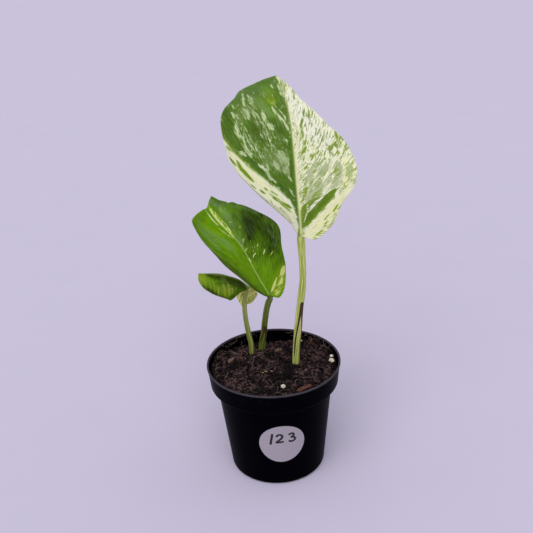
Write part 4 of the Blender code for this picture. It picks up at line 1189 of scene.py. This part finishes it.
def stalk_route(spec):
    """The stalk's centre line, up to the leaf's base and on under its midrib as a thinning rib."""
    leaf = LEAVES[spec["leaf"]]
    midrib = smooth_path(leaf["midrib"])
    along = lengths_along(midrib)
    forward, across, over, radius = spec["seat"]

    def under_leaf(s, out, rise, width):
        place, _, above, right = leaf_frame(midrib, along, np.array(leaf["facing"]), np.array(s))
        return (*(place + out * right + rise * above), width)

    seat = under_leaf(forward, across, over, radius)
    ends = [under_leaf(s, out, rise, radius * share) for s, out, rise, share in STALK_ENDS]
    return resample(smooth_path([*spec["route"], seat, *ends]), STALK_RINGS)


def angle_between(angles, direction):
    """Size of the turn from each angle to a direction, both round the stalk."""
    return np.abs((angles - direction + math.pi) % (2 * math.pi) - math.pi)


def stalk_ring(centre, ahead, angles, reach):
    """Points round one place on the stalk's centre line, each at its own reach."""
    front = np.array(STALK_FRONT)
    aim = unit(front - front.dot(ahead) * ahead)
    side = np.cross(ahead, aim)
    outward = np.cos(angles)[:, None] * aim + np.sin(angles)[:, None] * side
    return centre + reach[:, None] * outward


def make_stalk(name, spec, material):
    """A grooved stalk with the two raised edges of its sheath, stained brown, and a painted shadow
    where they meet.
    """
    route = stalk_route(spec)
    centres, radii = route[:, :3], route[:, 3]
    along = unit(np.gradient(centres, axis=0))
    angles = np.linspace(0.0, 2 * math.pi, STALK_SIDES, endpoint=False)
    away = angle_between(angles, math.atan2(spec["groove_to"][0], -spec["groove_to"][1]))
    groove = GROOVE_DEPTH * np.exp(-(away / GROOVE_HALF_ANGLE) ** 2)
    from_slot = angle_between(angles, spec["sheath_turn"])
    below = spec["sheath_top"] - centres[:, 2]
    opened = SHEATH_OPEN * np.clip(below / spec["sheath_spread"], 0.0, 1.0)
    sheathed = smooth_share((below + SHEATH_EASE[0]) / SHEATH_EASE[1])
    points = [centres[0] - CAP_REACH * radii[0] * along[0]]
    values = dict(sheath=[0.0], inner=[0.0], around=[0.0], height=[0.0])
    for centre, radius, ahead, edge_at, share in zip(centres, radii, along, opened, sheathed):
        lip = share * np.exp(-((from_slot - edge_at) / SHEATH_HALF_ANGLE) ** 2)
        reach = radius * (1.0 - groove + SHEATH_RISE * lip)
        points += list(stalk_ring(centre, ahead, angles, reach))
        # Near the sheath's top the brown widens over the slot between its edges, partly dry brown
        # and partly painted shadow
        stain_and_shadow = STAIN_HALF_ANGLE * (1 + STAIN_AND_SHADOW_WIDENING * math.exp(-edge_at / STAIN_SPLIT))
        stained = share * smooth_share((centre[2] - STAIN_FADE[0]) / STAIN_FADE[1])
        pale = share * smooth_share((centre[2] - PALE_SLOT[0]) / PALE_SLOT[1])
        values["sheath"] += list(stained * np.exp(-((from_slot - edge_at) / stain_and_shadow) ** 2))
        values["inner"] += list(pale * (from_slot < edge_at))
        values["around"] += list(away * radius)
        values["height"] += [centre[2]] * STALK_SIDES
    points.append(centres[-1] + CAP_REACH * radii[-1] * along[-1])
    values = {key: data + [0.0] for key, data in values.items()}
    values["tone"] = [spec["tone"]] * len(points)
    stalk = add_piece(name, points, capped_rings(STALK_RINGS, STALK_SIDES), material,
                      values)
    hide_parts(spec["node"])


# Pot and label

def cone_radius(z):
    """Outer radius of the pot's tapered body at height z."""
    return BODY_FOOT_RADIUS + z / BODY_TOP_Z * (BODY_TOP_RADIUS - BODY_FOOT_RADIUS)


def arc(centre, radius, start):
    """Points on a quarter of a circle in the profile plane, from angle start."""
    angles = [start + math.pi / 2 * k / ARC_STEPS for k in range(ARC_STEPS + 1)]
    return [(centre[0] + radius * math.cos(a), centre[1] + radius * math.sin(a)) for a in angles]


def rounded(profile, radius):
    """The profile with each inner corner turned into a small curve."""
    points = [profile[0]]
    for before, corner, after in zip(profile, profile[1:], profile[2:]):
        before, corner, after = map(np.array, (before, corner, after))
        back, on = np.linalg.norm(before - corner), np.linalg.norm(after - corner)
        start = corner + (before - corner) * min(radius / back, BEND_LIMIT)
        end = corner + (after - corner) * min(radius / on, BEND_LIMIT)
        for k in range(BEND_STEPS + 1):
            share = k / BEND_STEPS
            points.append(tuple((1 - share) ** 2 * start + 2 * share * (1 - share) * corner
                                + share ** 2 * end))
    points.append(profile[-1])
    return points


def pot_outside():
    """Radius and height of the outer profile, from the middle of the underside up to the lip."""
    corner = (cone_radius(BODY_CORNER) - BODY_CORNER, BODY_CORNER)
    foot = arc(corner, BODY_CORNER, -math.pi / 2)
    step = [(BODY_TOP_RADIUS, BODY_TOP_Z),
            (BODY_TOP_RADIUS + SHOULDER_BEND[0], BODY_TOP_Z + SHOULDER_BEND[1]),
            (COLLAR_FOOT_RADIUS - COLLAR_BEND[0], COLLAR_FOOT_Z - COLLAR_BEND[1]),
            (COLLAR_FOOT_RADIUS, COLLAR_FOOT_Z)]
    lip = [(RIM_RADIUS - LIP_STEP, POT_HEIGHT - LIP_HEIGHT),
           (RIM_RADIUS, POT_HEIGHT - LIP_HEIGHT + LIP_ROUND), (RIM_RADIUS, POT_HEIGHT)]
    return [(0.0, 0.0)] + foot + step + lip


def pot_inside():
    """Radius and height of the inner profile, from the lip down to the middle of the floor."""
    inner_lip = RIM_RADIUS - LIP_WIDTH
    collar = COLLAR_FOOT_RADIUS - POT_WALL
    body = BODY_TOP_RADIUS - POT_WALL
    corner_z = POT_FLOOR + FLOOR_CORNER
    return [(inner_lip, POT_HEIGHT), (collar, COLLAR_FOOT_Z + LIP_ROUND),
            (collar - COLLAR_BEND[0], COLLAR_FOOT_Z - SHOULDER_BEND[1]),
            (body + SHOULDER_BEND[0], BODY_TOP_Z + SHOULDER_BEND[1]), (body, BODY_TOP_Z),
            (cone_radius(corner_z) - POT_WALL, corner_z),
            (cone_radius(POT_FLOOR) - POT_WALL - FLOOR_CORNER, POT_FLOOR), (0.0, POT_FLOOR)]


def inner_radius_at(z):
    rings = pot_inside()[:-1]
    return float(np.interp(z, [p[1] for p in reversed(rings)], [p[0] for p in reversed(rings)]))


def make_pot():
    profile = rounded(pot_outside() + pot_inside(), LIP_ROUND)
    angles = np.linspace(0, 2 * math.pi, POT_SIDES, endpoint=False)
    points = [(0.0, 0.0, 0.0)]
    for radius, z in profile[1:-1]:
        points += [(radius * math.cos(a), radius * math.sin(a), z) for a in angles]
    points.append((0.0, 0.0, POT_FLOOR))
    faces = capped_rings(len(profile) - 2, POT_SIDES)
    pot = add_piece("pot_shell", points, faces, plastic_material())
    drill(pot)
    pot.data.set_sharp_from_angle(angle=SHARP_ANGLE)
    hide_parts("pot")


def drill(pot):
    """Cut the ring of drain holes through the pot's floor."""
    bm = bmesh.new()
    for k in range(DRAIN_COUNT):
        angle = 2 * math.pi * (k + 0.5) / DRAIN_COUNT
        centre = Vector((DRAIN_RING * math.cos(angle), DRAIN_RING * math.sin(angle), POT_FLOOR / 2))
        bmesh.ops.create_cone(bm, cap_ends=True, segments=DRAIN_SIDES, radius1=DRAIN_RADIUS * MM,
                              radius2=DRAIN_RADIUS * MM, depth=POT_FLOOR * 4 * MM,
                              matrix=Matrix.Translation(centre * MM))
    mesh = bpy.data.meshes.new("drills")
    bm.to_mesh(mesh)
    bm.free()
    drills = put_in_scene("drills", mesh)
    cut = pot.modifiers.new("drains", "BOOLEAN")
    cut.operation = "DIFFERENCE"
    cut.solver = "EXACT"
    cut.object = drills
    with bpy.context.temp_override(object=pot, active_object=pot):
        bpy.ops.object.modifier_apply(modifier=cut.name)
    bpy.data.objects.remove(drills, do_unlink=True)


def on_body(across, up, lift):
    """A place on the front of the pot's body, from the label's middle and out from the wall."""
    slant = math.hypot(BODY_TOP_Z, BODY_TOP_RADIUS - BODY_FOOT_RADIUS)
    z = LABEL_Z + up * BODY_TOP_Z / slant
    angle = LABEL_TURN + across / cone_radius(LABEL_Z)
    radius = cone_radius(z) + lift
    return radius * math.sin(angle), -radius * math.cos(angle), z


def make_label():
    front, back = [], []
    for ring in range(1, LABEL_RINGS + 1):
        for side in range(LABEL_SIDES):
            angle = 2 * math.pi * side / LABEL_SIDES
            radius = LABEL_RADIUS * ring / LABEL_RINGS
            place = (radius * math.cos(angle), radius * math.sin(angle))
            front.append(on_body(*place, LABEL_FACE))
            back.append(on_body(*place, LABEL_LIFT))
    rings = []
    for ring in range(LABEL_RINGS - 1, -1, -1):
        rings += back[ring * LABEL_SIDES:(ring + 1) * LABEL_SIDES]
    points = [on_body(0, 0, LABEL_FACE)] + front + rings + [on_body(0, 0, LABEL_LIFT)]
    label = add_piece("label_disc", points, capped_rings(2 * LABEL_RINGS, LABEL_SIDES),
                      paper_material())
    label.data.set_sharp_from_angle(angle=SHARP_ANGLE)
    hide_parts("label")


def make_figures():
    """A plain number written on the label, as thin strokes of ink."""
    points, faces = [], []
    for stroke in FIGURES:
        path = resample(smooth_path(stroke), INK_STEPS)
        ahead = unit(np.gradient(path, axis=0))
        start = len(points)
        for (x, y), (dx, dy) in zip(path, ahead):
            for k in range(INK_SIDES):
                angle = 2 * math.pi * k / INK_SIDES
                out, lift = INK_HALF_WIDTH * math.cos(angle), INK_HEIGHT * math.sin(angle)
                points.append(on_body(x - dy * out, y + dx * out, LABEL_FACE + lift))
        end = len(points) - INK_SIDES
        faces += ring_faces(INK_STEPS, INK_SIDES, start)
        faces += [tuple(range(start, start + INK_SIDES)), tuple(range(end, end + INK_SIDES))]
    add_piece("label_figures", points, faces, ink_material())


# Soil and what lies on it

def soil_height(x, y):
    """Height of the soil's surface: its level, mounds and hollows, and a soft roughness."""
    z = SOIL_LEVEL
    for cx, cy, rise, spread in SOIL_LUMPS:
        z += rise * math.exp(-((x - cx) ** 2 + (y - cy) ** 2) / spread ** 2)
    return z + SOIL_ROUGH * noise.noise(Vector((x, y, SOIL_NOISE_PLANE)) / SOIL_GRAIN)


def soil_tone_and_shade(x, y):
    """How brown or how black the soil is at a place, about 0.5, with painted shade in its hollows
    and painted light on a mound.
    """
    tone = 0.5 + PATCH_STRENGTH * noise.noise(Vector((x, y, 0.0)) / PATCH_SIZE)
    for cx, cy, shift, spread in SOIL_TONES_AND_SHADE:
        tone += shift * math.exp(-((x - cx) ** 2 + (y - cy) ** 2) / spread ** 2)
    return min(max(tone, 0.0), 1.0)


def clod_height(x, y):
    """The soil's height with its clods and crumbs, as rounded cells of a few sizes."""
    rough = 0.0
    for size, rise in CLOD_SIZES:
        nearest = noise.voronoi(Vector((x, y, size * 3)) / size)[0][0]
        rough += rise * (CLOD_MIDDLE - nearest)
    near_bit = min(math.hypot(x - bit[0], y - bit[1]) for bit in (*PERLITE, *BARK, SPLINTER))
    return soil_height(x, y) + rough * min(1.0, CALM_LEAST + near_bit / CALM_REACH)


def make_soil(material):
    wall = [(radius - SOIL_GAP, z + SOIL_GAP) for radius, z in pot_inside()[1:-1]]
    top_radius = inner_radius_at(SOIL_LEVEL) - SOIL_GAP
    angles = np.linspace(0, 2 * math.pi, SOIL_SIDES, endpoint=False)
    points = [(0.0, 0.0, clod_height(0.0, 0.0))]
    for ring in range(1, SOIL_RINGS + 1):
        radius = top_radius * ring / SOIL_RINGS
        for a in angles:
            x, y = radius * math.cos(a), radius * math.sin(a)
            points.append((x, y, clod_height(x, y)))
    for radius, z in wall:
        points += [(radius * math.cos(a), radius * math.sin(a), z) for a in angles]
    points.append((0.0, 0.0, POT_FLOOR + SOIL_GAP))
    soil = add_piece("soil_bed", points, capped_rings(SOIL_RINGS + len(wall), SOIL_SIDES), material,
                     dict(tone=[BED_TONE * soil_tone_and_shade(x, y) for x, y, _ in points]))
    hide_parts("soil")


def random_place(rng, reach):
    radius = reach * math.sqrt(rng.random())
    angle = rng.uniform(0.0, 2 * math.pi)
    return radius * math.cos(angle), radius * math.sin(angle)


def ball(subdivisions):
    """Points and faces of a unit ball of triangles."""
    bm = bmesh.new()
    bmesh.ops.create_icosphere(bm, subdivisions=subdivisions, radius=1.0)
    points = np.array([v.co[:] for v in bm.verts])
    faces = [tuple(v.index for v in f.verts) for f in bm.faces]
    bm.free()
    return points, faces


def crumb_shape(rng, base, size):
    """An uneven ball, longer one way than the others, turned at random."""
    shape = np.array([[rng.uniform(*CRUMB_UNEVENNESS)] for _ in base]) * base
    shape = shape * (size / 2 * np.array([rng.uniform(*shares) for shares in CRUMB_SHAPES]))
    turn = np.array(Matrix.Rotation(rng.uniform(0, 2 * math.pi), 3, "Z")
                    @ Matrix.Rotation(rng.uniform(-CRUMB_TILT, CRUMB_TILT), 3, "X"))
    return shape @ turn.T


def make_crumbs(material):
    """Loose angular crumbs of soil, each with a tone of its own."""
    rng = random.Random(CRUMB_SEED)
    base, triangles = ball(1)
    reach = inner_radius_at(SOIL_LEVEL) - CRUMB_MARGIN
    smallest, largest = CRUMB_SIZES
    points, faces, tones = [], [], []
    for _ in range(CRUMB_COUNT):
        x, y = random_place(rng, reach)
        size = smallest + (largest - smallest) * rng.random() ** CRUMB_FEWNESS
        shape = crumb_shape(rng, base, size)
        centre = np.array((x, y, clod_height(x, y) + size * rng.uniform(0.0, CRUMB_LIFT)))
        faces += [tuple(len(points) + i for i in t) for t in triangles]
        points += list(shape + centre)
        tone = CRUMB_TONES[0] + CRUMB_TONES[1] * soil_tone_and_shade(x, y)
        tone = min(1.0, tone * rng.random() ** CRUMB_TONE_CURVE)
        tones += [min(tone, CRUMB_PALE_TONE) if size > CRUMB_PALE_LIMIT else tone] * len(base)
    crumbs = add_piece("soil_crumbs", points, faces, material, dict(tone=tones))
    crumbs.data.shade_flat()


def add_tube(points, faces, tones, path, radius, tone):
    """Add a thin closed tube of one tone along a path to lists of points, faces and tones."""
    ahead = unit(np.gradient(path, axis=0))
    across = unit(np.cross(ahead, NEARLY_UP))
    over = np.cross(ahead, across)
    start = len(points)
    for k, place in enumerate(path):
        fullness = math.sin(math.pi * (k + 0.5) / len(path)) ** 0.5
        width = radius * (FIBRE_TAPER + (1 - FIBRE_TAPER) * fullness)
        for side in range(FIBRE_SIDES):
            angle = 2 * math.pi * side / FIBRE_SIDES
            points.append(place + width * (math.cos(angle) * across[k] + math.sin(angle) * over[k]))
    end = len(points) - FIBRE_SIDES
    faces += ring_faces(len(path), FIBRE_SIDES, start)
    faces += [tuple(range(start, start + FIBRE_SIDES)), tuple(range(end, end + FIBRE_SIDES))]
    tones += [tone] * (len(points) - start)


def soil_fibre(rng, reach):
    """A loose curve on the soil, which stops short at the wall."""
    x, y = random_place(rng, reach)
    length, heading = rng.uniform(*FIBRE_LENGTHS), rng.uniform(0, 2 * math.pi)
    curl, arch = rng.uniform(-FIBRE_CURL, FIBRE_CURL), rng.uniform(0.0, FIBRE_ARCH)
    path = []
    for k in range(FIBRE_STEPS):
        x += length / FIBRE_STEPS * math.cos(heading)
        y += length / FIBRE_STEPS * math.sin(heading)
        heading += curl
        if math.hypot(x, y) > reach:
            break
        rise = arch * math.sin(math.pi * k / (FIBRE_STEPS - 1))
        path.append((x, y, soil_height(x, y) + FIBRE_LIFT + rise))
    return np.array(path)


def wall_fibre(rng, from_degrees, to_degrees):
    """A dry root along the pot's wall, which bows inwards and droops."""
    angle = math.radians(rng.uniform(from_degrees, to_degrees))
    turn = rng.uniform(-WALL_FIBRE_TURN, WALL_FIBRE_TURN)
    top, dip = rng.uniform(*WALL_FIBRE_TOPS), rng.uniform(*WALL_FIBRE_DIPS)
    path = []
    for k in range(WALL_FIBRE_STEPS):
        share = k / (WALL_FIBRE_STEPS - 1)
        radius = WALL_FIBRE_RADIUS - WALL_FIBRE_BULGE * math.sin(math.pi * share)
        here = angle + turn * share
        path.append((radius * math.cos(here), radius * math.sin(here), top - dip * share ** 2))
    return np.array(path)


def make_fibres(material):
    """Thin roots and peat fibres, on the soil and by the wall."""
    rng = random.Random(FIBRE_SEED)
    reach = inner_radius_at(SOIL_LEVEL) - FIBRE_MARGIN
    made = points, faces, tones = [], [], []
    for _ in range(FIBRE_COUNT):
        path = soil_fibre(rng, reach)
        if len(path) >= FIBRE_LEAST_STEPS:
            add_tube(*made, path, rng.uniform(*FIBRE_RADII), rng.random() ** FIBRE_TONE_CURVE)
    for from_degrees, to_degrees, count in WALL_FIBRES:
        for _ in range(count):
            path = wall_fibre(rng, from_degrees, to_degrees)
            add_tube(*made, path, rng.uniform(*WALL_FIBRE_RADII), WALL_FIBRE_TONE * rng.random())
    add_piece("soil_fibres", points, faces, material, dict(tone=tones))


def make_lump(name, node, spec, material, seed, ragged):
    """A loose grain in place of its plain solid, rough all over."""
    x, y, length, width, thickness, turn, tilt = spec
    base, faces = ball(LUMP_FINENESS)
    lay = Matrix.Rotation(math.radians(turn), 3, "Z") @ Matrix.Rotation(-math.radians(tilt), 3, "Y")
    rough = []
    for p in base:
        wander = noise.noise(Vector(p) * LUMP_WANDER_SCALE + Vector((seed, 0, 0)))
        pits = noise.noise(Vector(p) * LUMP_PIT_SCALE + Vector((0, seed, 0)))
        rough.append(1.0 + ragged * wander + LUMP_PITS * ragged * pits)
    shape = base * np.array(rough)[:, None] * np.array((length, width, thickness)) / 2
    shape = shape @ np.array(lay).T
    clear = max(soil_height(x + px, y + py) - pz for px, py, pz in shape)
    piece = add_piece(name, shape + np.array((x, y, clear)), faces, material)
    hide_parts(node)


def make_bits():
    white = perlite_material()
    for number, spec in enumerate(PERLITE, 1):
        make_lump("perlite_grain_%d" % number, "perlite_%d" % number, spec, white,
                  number, PERLITE_RAGGED)
    brown = bark_material("bark_brown", rgb(34, 18, 14), rgb(124, 68, 46))
    dusty = bark_material("bark_dusty", rgb(54, 38, 32), rgb(124, 98, 80))
    for number, spec in enumerate(BARK, 1):
        look = brown if number in REDDISH_BARK else dusty
        make_lump("bark_chip_%d" % number, "bark_%d" % number, spec, look,
                  BARK_SEED + number, BARK_RAGGED)
    tan = bark_material("wood_tan", rgb(128, 98, 68), rgb(186, 152, 112))
    make_lump("wood_splinter", "splinter", SPLINTER, tan, SPLINTER_SEED,
              SPLINTER_RAGGED)


def dress_stems():
    """Give the buried stems, which are carried over, a material of their own."""
    s = Shading("stem_skin")
    rings = s.grain(4.0, 4)
    s.set(Base_Color=s.mix(rings, rgb(112, 118, 58), rgb(150, 140, 84)), Roughness=0.6)
    s.bump(rings, 0.3, 0.6)
    for name in ("stem_front", "stem_back"):
        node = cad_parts[name]
        for place in node.material_slots:
            place.material = s.material


# Floor, light and camera

def make_floor():
    s = Shading("floor_pale")
    colour = s.mix(s.grain(60.0, 2), rgb(206, 198, 223), rgb(210, 202, 226))
    s.set(Base_Color=colour, Roughness=0.9)
    mesh = bpy.data.meshes.new("floor")
    signs = ((-1, -1), (1, -1), (1, 1), (-1, 1))
    corners = [(x * FLOOR_REACH, y * FLOOR_REACH, 0) for x, y in signs]
    mesh.from_pydata(corners, [], [(0, 1, 2, 3)])
    mesh.materials.append(s.material)
    floor = put_in_scene("floor", mesh)


def light_scene():
    world = bpy.data.worlds.new("studio")
    world.use_nodes = True
    background = world.node_tree.nodes["Background"]
    background.inputs["Color"].default_value = WORLD_COLOUR
    background.inputs["Strength"].default_value = WORLD_STRENGTH
    bpy.context.scene.world = world
    bpy.context.scene.view_settings.view_transform = "Standard"
    sun = bpy.data.lights.new("overhead", "SUN")
    sun.energy = SUN_STRENGTH
    sun.angle = math.radians(SUN_WIDTH)
    sun.color = SUN_COLOUR
    turn = Vector(SUN_FROM).to_track_quat("Z", "Y")
    put_in_scene("overhead", sun).rotation_euler = turn.to_euler()


def make_camera():
    down, roll = math.radians(CAMERA_DOWN), math.radians(CAMERA_ROLL)
    ahead = Vector((0.0, math.cos(down), -math.sin(down)))
    level, upward = Vector((1.0, 0.0, 0.0)), Vector((0.0, math.sin(down), math.cos(down)))
    right = math.cos(roll) * level - math.sin(roll) * upward
    above = math.sin(roll) * level + math.cos(roll) * upward
    turn = Matrix((right, above, -ahead)).transposed().to_4x4()
    camera = bpy.data.cameras.new("camera")
    camera.sensor_width = SENSOR
    camera.lens = LENS_PIXELS / IMAGE_PIXELS * SENSOR
    holder = put_in_scene("camera", camera)
    holder.matrix_world = Matrix.Translation(Vector(CAMERA_PLACE) * MM) @ turn
    bpy.context.scene.camera = holder


# Each leaf's colours: cream, and warm where it is yellow, for the pale parts, with flecks of light
# green; bright, deep and faint for the green, and yellow, with deep also used as painted shade;
# sage for its veils, which are partly painted sheen; rib for the midrib and the margin; under for
# the lower face, which on the small leaf is painted light shining through it. Veiled, lined and
# bare are how strong the flecks, the light lines and the lower face's own colours are, and shine is
# how glossy the leaf is
LOOKS = {
    "leaf_large": dict(cream=rgb(236, 235, 220), warm=rgb(234, 236, 164), sage_and_sheen=rgb(144, 162, 110),
                       fleck=rgb(176, 198, 136), bright=rgb(78, 124, 24), deep_and_shade=rgb(34, 66, 2),
                       faint=rgb(124, 146, 70), yellow=rgb(150, 178, 6), rib=rgb(222, 228, 164),
                       under=rgb(192, 198, 154), under_green=rgb(132, 150, 92), veiled=0.85,
                       lined=0.22, bare=0.7, shine=0.2),
    "leaf_medium": dict(cream=rgb(204, 218, 158), warm=rgb(224, 230, 120), sage_and_sheen=rgb(128, 156, 104),
                        fleck=rgb(170, 196, 130), bright=rgb(108, 156, 0), deep_and_shade=rgb(32, 50, 0),
                        faint=rgb(140, 170, 30), yellow=rgb(112, 152, 0), rib=rgb(186, 212, 112),
                        under=rgb(120, 140, 60), under_green=rgb(62, 88, 6), veiled=0.3,
                        lined=0.16, bare=0.6, shine=0.08),
    # The small leaf's pale, fully bare lower face is painted light: near-white yellow stands in for
    # light shining through its lobe
    "leaf_small": dict(cream=rgb(192, 202, 108), warm=rgb(210, 216, 120), sage_and_sheen=rgb(122, 146, 84),
                       fleck=rgb(168, 190, 80), bright=rgb(88, 136, 0), deep_and_shade=rgb(30, 50, 2),
                       faint=rgb(124, 158, 30), yellow=rgb(146, 170, 40), rib=rgb(150, 172, 84),
                       under=rgb(255, 254, 156), under_green=rgb(188, 200, 76), veiled=0.5,
                       lined=0.2, bare=1.0, shine=0.12),
}

make_camera()
light_scene()
make_floor()
make_pot()
make_label()
make_figures()
dress_stems()
peat = peat_material()
make_soil(peat)
make_crumbs(peat)
make_fibres(fibre_material())
make_bits()
stalk_green = stalk_material()
for stalk_name, stalk_spec in STALKS.items():
    make_stalk(stalk_name, stalk_spec, stalk_green)
for leaf_seed, (leaf_name, leaf_spec) in enumerate(LEAVES.items()):
    make_leaf(leaf_name, leaf_spec, leaf_material(leaf_name, LOOKS[leaf_name]), 10.0 * leaf_seed)
